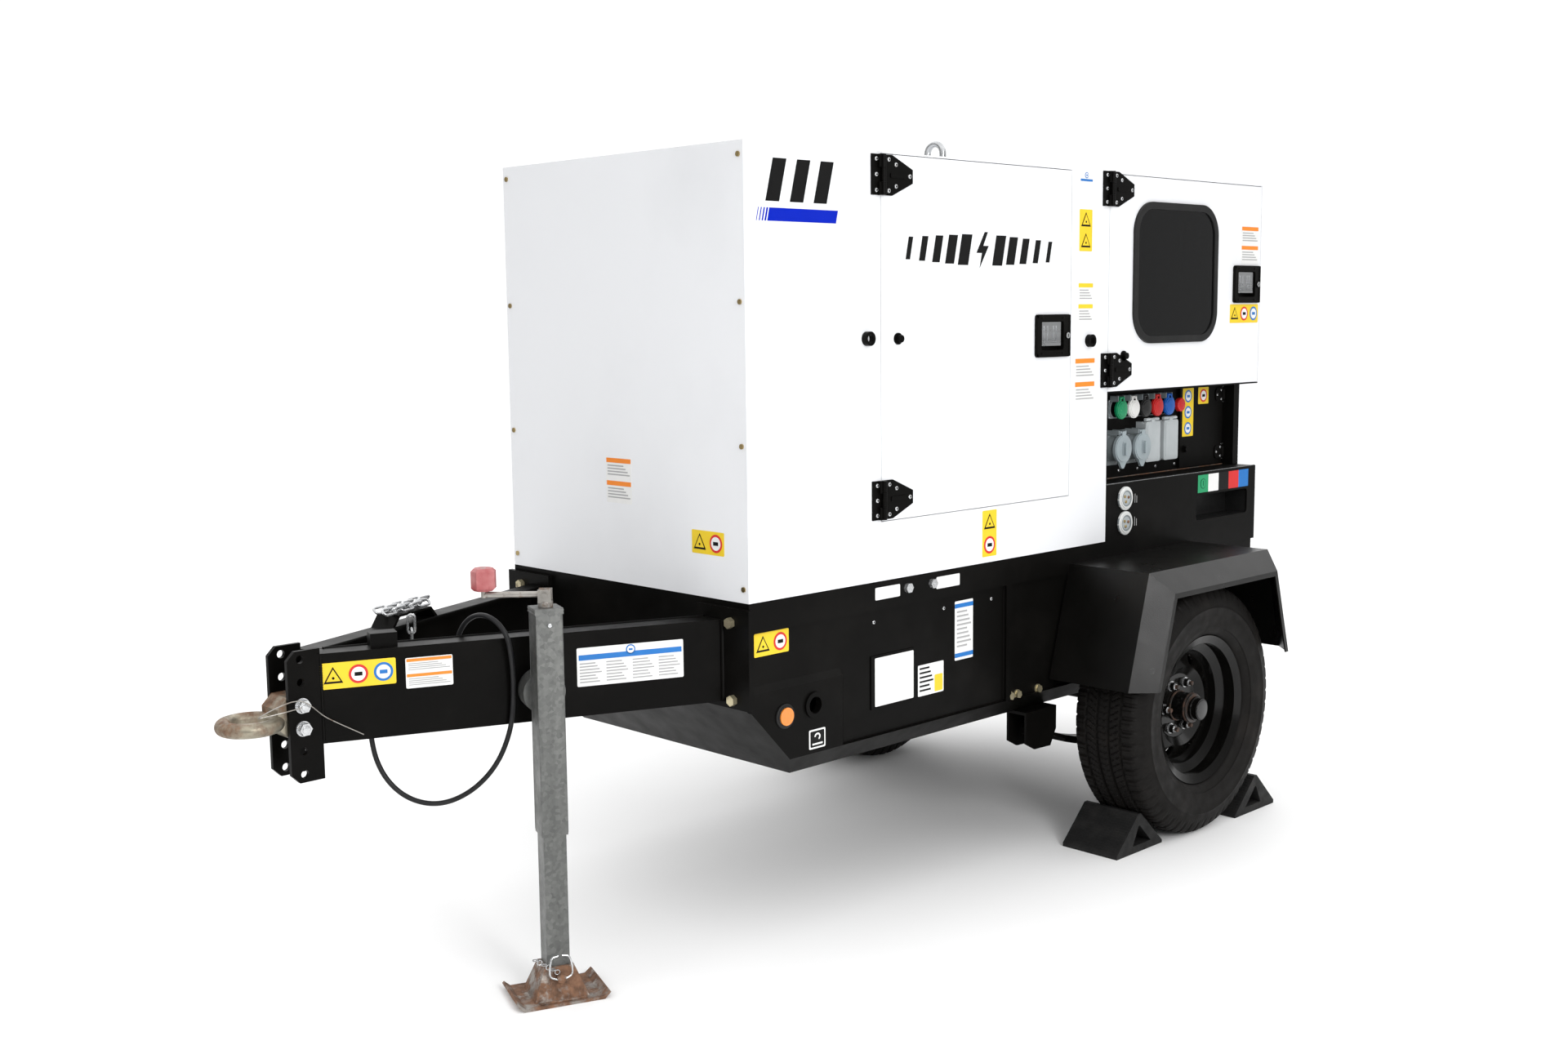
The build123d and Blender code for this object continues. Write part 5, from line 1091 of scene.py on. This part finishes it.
def recess_details():
    """Flanges, screws, inlet pins, hinges and lips of the recess, a black box in the cable slot as painted
    shade, the stop cap.
    """
    piece = Piece("recess_hardware", "chassis", "bright_zinc", "ink_black", "outlet_grey", "inlet_white",
                  "brass", "box_grey", "cabinet_black", "fitting_black", "foot_rust", slot="outlet_grey")
    for colour in CAMLOCKS:
        x, z, face = lid_centre(f"camlock_cover_{colour}", CAMLOCK_LID)
        piece.plate(OUTLETS, x - 0.027, x + 0.027, z - 0.027, z + 0.027, 0.005, 0.0055, 0.0075,
                    "outlet_grey", steps=4)
        piece.disc(OUTLETS, x, z, 0.007, 0.0125, 0.0256, "outlet_grey", 44, soft=0.002)
        for a in (-0.022, 0.022):
            for b in (-0.022, 0.022):
                screw(piece, OUTLETS, x + a, z + b, 0.0075, 0.0032)
        for side in (-1, 1):
            a0, a1 = sorted((x + side * 0.0135, x + side * 0.017))
            piece.plate(OUTLETS, a0, a1, z + 0.021, z + 0.039, 0.0015, 0.0055, 0.033, "outlet_grey")
    for name in ("front", "rear"):
        x, z, face = lid_centre(f"twistlock_cover_{name}", TWISTLOCK_LID)
        piece.disc(OUTLETS, x, z, 0.004, 0.014, 0.0385, "outlet_grey", 52, soft=0.004)
        for a in (-0.033, 0.033):
            for b in (-0.042, 0.042):
                screw(piece, OUTLETS, x + a, z + b, 0.005, 0.004)
    for x in (0.905, 1.0, 1.095, 1.19, 1.292):
        screw(piece, OUTLETS, x, 0.993, 0.0, 0.0045)
    for z in INLET_HEIGHTS:
        piece.disc(NEAR, INLET_X, z, 0.0045, 0.0062, 0.0325, "inlet_white", 56, soft=0.001)
        # Darker grey ring just inside the white rim: painted shade of the inlet's recess round its light grey
        # face.
        piece.disc(NEAR, INLET_X, z, 0.006, 0.0064, 0.0225, "outlet_grey", 48)
        piece.disc(NEAR, INLET_X, z, 0.0062, 0.0066, 0.0185, "box_grey", 48)
        for a, b, ink in ((-0.009, 0.006, "brass"), (-0.004, -0.009, "brass"), (0.009, 0.003, "foot_rust")):
            piece.disc(NEAR, INLET_X + a, z + b, 0.006, 0.0095, 0.0042, ink, 16, soft=0.001)
    for z in TERMINAL_HINGES:
        low, high = OUTLETS.at(1.5495, z - 0.024, 0), OUTLETS.at(1.578, z + 0.024, 0.005)
        piece.box(low, high, "fitting_black", 0.001)
        for rise in (-0.016, 0.016):
            screw(piece, OUTLETS, 1.566, z + rise, 0.005, 0.0036)
    piece.box((0.797, -0.4465, 0.9728), (1.59, -0.4425, 0.9752), "cabinet_black", 0.0008)
    piece.tube([(0.8, -0.3465, 0.974), (1.588, -0.3465, 0.974)], 0.0014, "foot_rust", 6)
    piece.done()
    # Black rubber box in the cable slot: painted shade, darkening a slot that is only in shade.
    slot_shade = Piece("cable_slot_painted_shade", "chassis", "rubber", slot="cabinet_black")
    x0, x1, z0, z1 = CABLE_SLOT
    front, back, skin = -0.443, -0.365, 0.0035
    for low, high in (((x0, front, z0), (x1, back, z0 + skin)),
                      ((x0, front, z1 - skin), (x1, back, z1)),
                      ((x0, front, z0), (x0 + skin, back, z1)),
                      ((x1 - skin, front, z0), (x1, back, z1)),
                      ((x0, back - 0.003, z0), (x1, back, z1))):
        slot_shade.box(low, high, "rubber", 0.0005)
    slot_shade.done()
    low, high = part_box("estop_button")
    x, z = (low.x + high.x) / 2, (low.z + high.z) / 2
    stop = Piece("stop_button_cap", "estop_button", "cover_red", slot="cover_red")
    face = RECESS_BACK - low.y
    stop.disc(OUTLETS, x, z, face - 0.0015, face + 0.0035, 0.0198, "cover_red", 44, soft=0.003)
    stop.done()


def control_panel():
    """Controller, meters, switches, breaker and small labels, seen through the window."""
    piece = Piece("control_panel_face", "chassis", "screen", "ink_grey", "ink_black", "ink_white",
                  "bright_zinc", "cover_red", "cover_green", "fitting_black", "ink_yellow", "ink_red",
                  "ink_blue", slot="cabinet_black")
    face, meter, breaker = near_plane(-0.4205), near_plane(-0.4245), near_plane(-0.422)
    plate = near_plane(-0.415)
    piece.plate(face, 0.975, 1.085, 1.625, 1.7, 0.004, -0.001, 0.0012, "screen", steps=4)
    for row in range(2):
        for column in range(3):
            a, b = 1.103 + 0.017 * column, 1.69 - 0.02 * row
            piece.disc(face, a, b, -0.001, 0.0022, 0.006, "ink_grey", 24, soft=0.001)
    for column, ink in enumerate(("cover_red", "cover_green", "ink_grey", "ink_grey", "ink_grey")):
        a = 0.985 + 0.034 * column
        piece.disc(face, a, 1.607, -0.001, 0.0025, 0.0085, ink, 28, soft=0.001)
    for a, b in ((1.218, 1.69), (1.272, 1.69), (1.218, 1.64), (1.272, 1.64)):
        piece.disc(meter, a, b, -0.001, 0.0016, 0.0225, "bright_zinc", 40, soft=0.0006)
        piece.disc(meter, a, b, 0.0, 0.0018, 0.0195, "ink_white", 40)
        for number in range(11):
            turn = math.radians(210 - 24 * number)
            dash = [meter.at(a + r * math.cos(turn), b + r * math.sin(turn), 0.0019) for r in (0.0145, 0.018)]
            piece.tube(dash, 0.0005, "ink_black", 5)
        piece.tube([meter.at(a, b, 0.002), meter.at(a + 0.011, b + 0.009, 0.002)], 0.0006, "ink_red", 6)
    for a, b, ink in ((0.93, 1.726, "ink_white"), (0.985, 1.735, "ink_white"), (1.27, 1.745, "ink_white"),
                      (0.99, 1.52, "ink_grey"), (1.06, 1.52, "ink_grey"), (1.17, 1.52, "ink_grey")):
        sticker(piece, plate, a, a + 0.04, b, b + 0.02, ink)
    piece.plate(breaker, 1.0, 1.23, 1.382, 1.468, 0.005, -0.001, 0.003, "ink_black", steps=4)
    piece.plate(breaker, 1.095, 1.135, 1.405, 1.445, 0.004, 0.002, 0.0058, "ink_grey", steps=4)
    for a in (1.17, 1.205, 1.24):
        piece.disc(breaker, a, 1.54, -0.008, 0.0035, 0.009, "ink_black", 28, soft=0.002)
    for a in (0.892, 1.354):
        for b in (1.315, 1.545, 1.775):
            screw(piece, plate, a, b, 0.0, 0.0042)
    piece.done()


# ---------------------------------------------------------------- drawbar, jack and base
def smooth(points, steps=6):
    """Points along a smooth run through given points."""
    points = [Vector(p) for p in points]
    padded = [2 * points[0] - points[1]] + points + [2 * points[-1] - points[-2]]
    run = []
    for a, b, c, d in zip(padded, padded[1:], padded[2:], padded[3:]):
        for step in range(steps):
            t = step / steps
            run.append(0.5 * (2 * b + (c - a) * t + (2 * a - 5 * b + 4 * c - d) * t * t
                              + (3 * b - a - 3 * c + d) * t ** 3))
    return run + [points[-1]]


def weld(piece, start, end, radius=0.0032, material="frame_black"):
    """Rippled weld bead between two points."""
    start, end = Vector(start), Vector(end)
    count = max(2, int((end - start).length / 0.005))
    axis = (end - start).normalized()
    for step in range(count):
        middle = start + (end - start) * (step + 0.5) / count
        piece.rod(middle - axis * 0.003, middle + axis * 0.003, radius, material, 8, radius * 0.72)


# Upright weld beads on the near side: x, y, foot, top and radius.
WELDS = ((-0.5835, -0.372, 0.586, 0.771, 0.0045), (-1.4015, -0.046, 0.59, 0.768, 0.0045),
         (0.352, -0.4365, 0.44, 0.742, 0.003), (0.374, -0.4365, 0.44, 0.742, 0.003),
         (-0.262, -0.4365, 0.437, 0.604, 0.003))


def frame_details():
    """Weld beads on the drawbar and the base; grommets, screws and hexagon bolts on the base."""
    piece = Piece("frame_welds", "chassis", "frame_black", slot="frame_black")
    for side in (1, -1):
        mirror = Vector((1, side, 1))
        for height in (0.7735, 0.5835):
            start, end = MEMBER.at(0.02, height, -0.0585), MEMBER.at(0.865, height, -0.0585)
            weld(piece, start * mirror, end * mirror, 0.0026)
        for x, y, z0, z1, radius in WELDS:
            weld(piece, Vector((x, y, z0)) * mirror, Vector((x, y, z1)) * mirror, radius)
    piece.done()
    rubber = Piece("marker_grommet", "chassis", "rubber", "bright_zinc", "ink_black", "yellow_zinc",
                   slot="seal_rubber")
    for face, sign in ((NEAR, 1), (FAR, -1)):
        rubber.disc(face, sign * -0.462, 0.541, 0, 0.0045, 0.029, "rubber", 48, soft=0.002)
        rubber.disc(face, sign * -0.462, 0.541, 0.004, 0.0062, 0.0245, "rubber", 48, soft=0.001)
        for a in (-0.15, 0.11, 0.3):
            screw(rubber, face, sign * a, 0.715, -PANEL_DEPTH, 0.0048)
        for x in (0.379, 0.41, 0.5):
            for low, high, radius, sides in ((0, 0.004, 0.0125, 24), (0.0035, 0.011, 0.0105, 6)):
                rubber.disc(face, sign * x, 0.444, low - PANEL_DEPTH, high - PANEL_DEPTH, radius,
                            "yellow_zinc", sides)
    rubber.done()


def coupler_details():
    """Washers of the coupler's bolts and the loose wire that hangs over them."""
    piece = Piece("coupler_wire", "chassis", "bright_zinc", "crank_zinc", slot="zinc_fastener")
    for z in (0.6235, 0.6715):
        for side in (-1, 1):
            centre = Vector((-1.447, side * 0.0575, z))
            piece.rod(centre, centre + Vector((0, side * 0.0045, 0)), 0.0085, "bright_zinc", 24, soft=0.001)
    path = smooth([(-1.452, -0.06, 0.6715), (-1.5, -0.062, 0.668), (-1.545, -0.05, 0.664),
                   (-1.47, -0.075, 0.69), (-1.4, -0.062, 0.64), (-1.33, -0.082, 0.596)])
    piece.tube(path, 0.0011, "crank_zinc", 8)
    piece.done()


def jack_details():
    """Seams, grease nipple and plate on the jack tube; wire clip, chain, pin and weld at its foot."""
    jack = Face(MEMBER.at(JACK_ALONG, 0, JACK_OUT), ALONG)
    tube = Piece("jack_tube_seams", "jack", "galvanised", "bright_zinc", "ink_black", slot="galvanised")
    half = 0.0285
    rim = half + 0.0025
    for height in (0.839, 0.846):
        tube.plate(jack, -rim, rim, height - 0.002, height + 0.002, 0.0015, -rim, rim, "galvanised", steps=2)
    for a in (-half, half):
        for out in (-half, half):
            tube.rod(jack.at(a * 0.985, 0.365, out * 0.985), jack.at(a * 0.985, 0.836, out * 0.985), 0.0011,
                     "galvanised", 8)
    tube.disc(jack, 0.0, 0.815, half, half + 0.006, 0.005, "bright_zinc", 16, soft=0.002)
    tube.plate(jack, -0.022, 0.022, 0.52, 0.56, 0.004, half - 0.0002, half + 0.0006, "galvanised",
               steps=4)
    tube.done()
    foot = Piece("jack_foot_clip", "jack_leg", "bright_zinc", "foot_rust", slot="galvanised")
    for side in (-1, 1):
        path = smooth([jack.at(side * 0.004, 0.1, 0.04), jack.at(side * 0.02, 0.094, 0.042),
                       jack.at(side * 0.024, 0.06, 0.046), jack.at(side * 0.006, 0.05, 0.05)])
        foot.tube(path, 0.0021, "bright_zinc", 8)
    for number in range(6):
        centre = jack.at(-0.052 + 0.009 * number, 0.094 - 0.006 * number, 0.03 + 0.002 * number)
        ring = [centre + (ALONG * math.cos(t) + (UP if number % 2 else jack.out) * math.sin(t)) * 0.0055
                for t in (math.pi / 4 * k for k in range(9))]
        foot.tube(ring, 0.0012, "bright_zinc", 6)
    foot.disc(jack, 0, 0.052, 0.043, 0.052, 0.0105, "foot_rust", 6)
    foot.disc(jack, 0, 0.052, -0.052, -0.043, 0.0105, "foot_rust", 6)
    weld(foot, jack.at(-0.05, 0.0075, 0.061), jack.at(0.05, 0.0075, 0.061), 0.0035, "foot_rust")
    foot.done()


# Ribs' name, body, way the chock points, x of its toe, and its two sides.
CHOCKS = (("chock_front_ribs", "chock_front", 1, 0.774, -0.6595, -0.4835),
          ("chock_rear_ribs", "chock_rear", -1, 1.105, -0.6895, -0.5135))


def chock_ribs():
    """Grip ribs across each chock's two slopes."""
    for name, body, x_sign, toe, low_y, high_y in CHOCKS:
        piece = Piece(name, body, "chock", slot="chock_rubber")
        peak = Vector((toe - x_sign * 0.104, 0, 0.105))
        back = Vector((toe - x_sign * 0.215, 0, 0.01))
        front = Vector((toe, 0, 0.008))
        for start, end in ((front, peak), (back, peak - Vector((x_sign * 0.012, 0, 0)))):
            run = end - start
            across = Vector((-run.z, 0, run.x)).normalized()
            across *= 1 if across.z > 0 else -1
            count = 15
            for step in range(count):
                centre = start + run * (0.09 + 0.84 * step / (count - 1))
                half = run.normalized() * 0.0022
                section = [centre - half - across * 0.003, centre + half - across * 0.003,
                           centre + half * 0.6 + across * 0.0012, centre - half * 0.6 + across * 0.0012]
                verts = [Vector((p.x, y, p.z)) for y in (low_y + 0.006, high_y - 0.006) for p in section]
                faces = [(0, 1, 2, 3), (7, 6, 5, 4), (0, 4, 5, 1), (1, 5, 6, 2), (2, 6, 7, 3), (3, 7, 4, 0)]
                piece.add_shape(verts, faces, "chock")
        piece.done()


# ---------------------------------------------------------------- canopy details
def canopy_details():
    """Rubber seals in the door gaps, rear louvre blades and the mesh under the roof slots."""
    seal = Piece("door_seals", "chassis", "rubber", slot="seal_rubber")
    for face, sign, bays in ((NEAR, 1, ((-0.133, 0.62, 0.958, 1.826), (0.795, 1.59, 1.234, 1.822))),
                             (FAR, -1, ((-0.133, 0.62, 0.958, 1.826),))):
        for x0, x1, z0, z1 in bays:
            a0, a1 = sorted((sign * (x0 + 0.004), sign * (x1 - 0.004)))
            frame_plates(seal, face, a0, a1, z0 + 0.004, z1 - 0.008, 0.01, 0.01, 0.004, -0.0275, -0.0238,
                         "rubber")
    seal.done()
    rear = Piece("rear_louvres", "chassis", "white", "radiator", slot="canopy_white")
    for row in range(12):
        z = 1.24 + 0.042 * row
        for side in (-1, 1):
            a0, a1 = sorted((side * 0.022, side * 0.348))
            verts = [(CANOPY_REAR + out, a, z + rise) for a in (a0, a1)
                     for out, rise in ((-0.003, 0.02), (-0.0005, 0.02), (-0.0005, 0.016), (-0.022, -0.006),
                                       (-0.024, -0.004), (-0.003, 0.0175))]
            faces = [(0, 1, 2, 3, 4, 5), (11, 10, 9, 8, 7, 6)]
            faces += [(i, (i + 1) % 6, (i + 1) % 6 + 6, i + 6) for i in range(6)]
            rear.add_shape([Vector(v) for v in verts], faces, "white")
    rear.done()
    grille = Piece("roof_grille", "chassis", "radiator", slot="radiator_black")
    for step in range(30):
        y = -0.3 + 0.6 * step / 29
        grille.rod((-0.52, y, 1.8215), (-0.17, y, 1.8215), 0.0014, "radiator", 8)
    for step in range(18):
        x = -0.52 + 0.35 * step / 17
        grille.rod((x, -0.305, 1.819), (x, 0.305, 1.819), 0.0014, "radiator", 8)
    grille.done()


def door_linings():
    """Acoustic foam in the door pans, held by pins with round washers."""
    for name, body, face, sign in (("engine_door_foam", "engine_door", NEAR, 1),
                                   ("service_door_foam", "service_door", FAR, -1)):
        piece = Piece(name, body, "foam", "bright_zinc")
        for x0, x1, z0, z1 in ((-0.122, 0.466, 0.968, 1.814), (0.469, 0.607, 1.445, 1.814),
                               (0.469, 0.607, 0.968, 1.337)):
            a0, a1 = sorted((sign * x0, sign * x1))
            piece.plate(face, a0, a1, z0, z1, 0.008, -0.021, -0.0031, "foam")
        for x, z in ((0.0, 1.08), (0.34, 1.08), (0.0, 1.4), (0.34, 1.4), (0.0, 1.72), (0.34, 1.72)):
            piece.disc(face, sign * x, z, -0.0205, -0.0213, 0.014, "bright_zinc", 28)
        piece.done()
    wall = Piece("bulkhead_foam", "chassis", "foam", "bright_zinc")
    wall.box((0.62, -0.4, 0.83), (0.6395, -0.08, 1.74), "foam", 0.004)
    wall.box((0.62, 0.08, 0.83), (0.6395, 0.4, 1.74), "foam", 0.004)
    for z in (1.0, 1.3, 1.6):
        for y in (-0.32, -0.16, 0.16, 0.32):
            wall.rod((0.6205, y, z), (0.6192, y, z), 0.014, "bright_zinc", 28)
    wall.done()


def engine_details():
    """Hoses, injectors, pump, filter, battery leads and alternator ribs behind the side doors."""
    piece = Piece("engine_pipes", "chassis", "rubber", "bright_zinc", "yellow_zinc", "cover_red",
                  "ink_yellow", "engine", "brass", slot="engine_iron")
    for points in ([(-0.465, -0.1, 1.52), (-0.42, -0.13, 1.5), (-0.36, -0.13, 1.4), (-0.33, -0.1, 1.3)],
                   [(-0.465, 0.14, 0.87), (-0.41, 0.17, 0.88), (-0.37, 0.17, 0.98), (-0.345, 0.12, 1.04)]):
        run = smooth(points, 8)
        piece.tube(run, 0.021, "rubber", 20)
        for index in (3, len(run) - 4):
            axis = (run[index + 1] - run[index]).normalized()
            piece.rod(run[index] - axis * 0.005, run[index] + axis * 0.005, 0.0226, "bright_zinc", 28)
    for number in range(4):
        x = -0.31 + 0.12 * number
        piece.rod((x, -0.045, 1.296), (x, -0.045, 1.33), 0.011, "brass", 20, soft=0.002)
        piece.tube(smooth([(x, -0.045, 1.325), (x + 0.01, -0.09, 1.335), (x + 0.02, -0.132, 1.28),
                           (-0.13 + 0.02 * number, -0.14, 1.17)]), 0.0032, "bright_zinc", 8)
    piece.box((-0.19, -0.185, 1.06), (-0.01, -0.128, 1.18), "engine", 0.006)
    piece.rod((-0.3, -0.131, 1.05), (-0.3, -0.215, 1.05), 0.043, "ink_yellow", 40, soft=0.006)
    for step in range(16):
        turn = 2 * math.pi * step / 16
        a = Vector((-0.3 + 0.043 * math.cos(turn), -0.205, 1.05 + 0.043 * math.sin(turn)))
        piece.rod(a, a + Vector((0, 0.025, 0)), 0.0022, "ink_yellow", 6)
    for x, cap in ((0.48, "cover_red"), (0.58, "rubber")):
        piece.rod((x, -0.37, 1.062), (x, -0.37, 1.078), 0.013, cap, 24, soft=0.003)
        piece.tube(smooth([(x, -0.365, 1.07), (x - 0.02, -0.33, 1.1), (x - 0.06, -0.28, 1.07),
                           (x - 0.1, -0.235, 0.99)]), 0.0075, cap, 12)
    for x in (0.205, 0.255, 0.305, 0.355, 0.405, 0.455, 0.505):
        for turn in range(12):
            angle = math.radians(30 * turn + 15)
            centre = Vector((x, 0.18 * math.cos(angle), 1.04 + 0.18 * math.sin(angle)))
            out = Vector((0, math.cos(angle), math.sin(angle)))
            side = Vector((0, -math.sin(angle), math.cos(angle))) * 0.02
            verts = [centre + Vector((dx, 0, 0)) + side * s + out * o for o in (-0.003, 0.0045)
                     for dx, s in ((-0.004, -1), (0.004, -1), (0.004, 1), (-0.004, 1))]
            faces = [(3, 2, 1, 0), (4, 5, 6, 7), (0, 1, 5, 4), (1, 2, 6, 5), (2, 3, 7, 6), (3, 0, 4, 7)]
            piece.add_shape(verts, faces, "engine")
    piece.done()


# ---------------------------------------------------------------- build
make_camera()
make_studio()
paint_nodes()
paint_mixed_nodes()
trailer_cable()
tyre("near_tyre_tread", -1)
tyre("far_tyre_tread", 1)
wheel_details("near_wheel_hardware", "near_wheel", -1)
wheel_details("far_wheel_hardware", "far_wheel", 1)
hinge_screws()
latch_details()
canopy_labels()
door_labels()
base_labels()
recess_labels()
drawbar_labels()
cover_details()
recess_details()
control_panel()
frame_details()
coupler_details()
jack_details()
chock_ribs()
canopy_details()
door_linings()
engine_details()
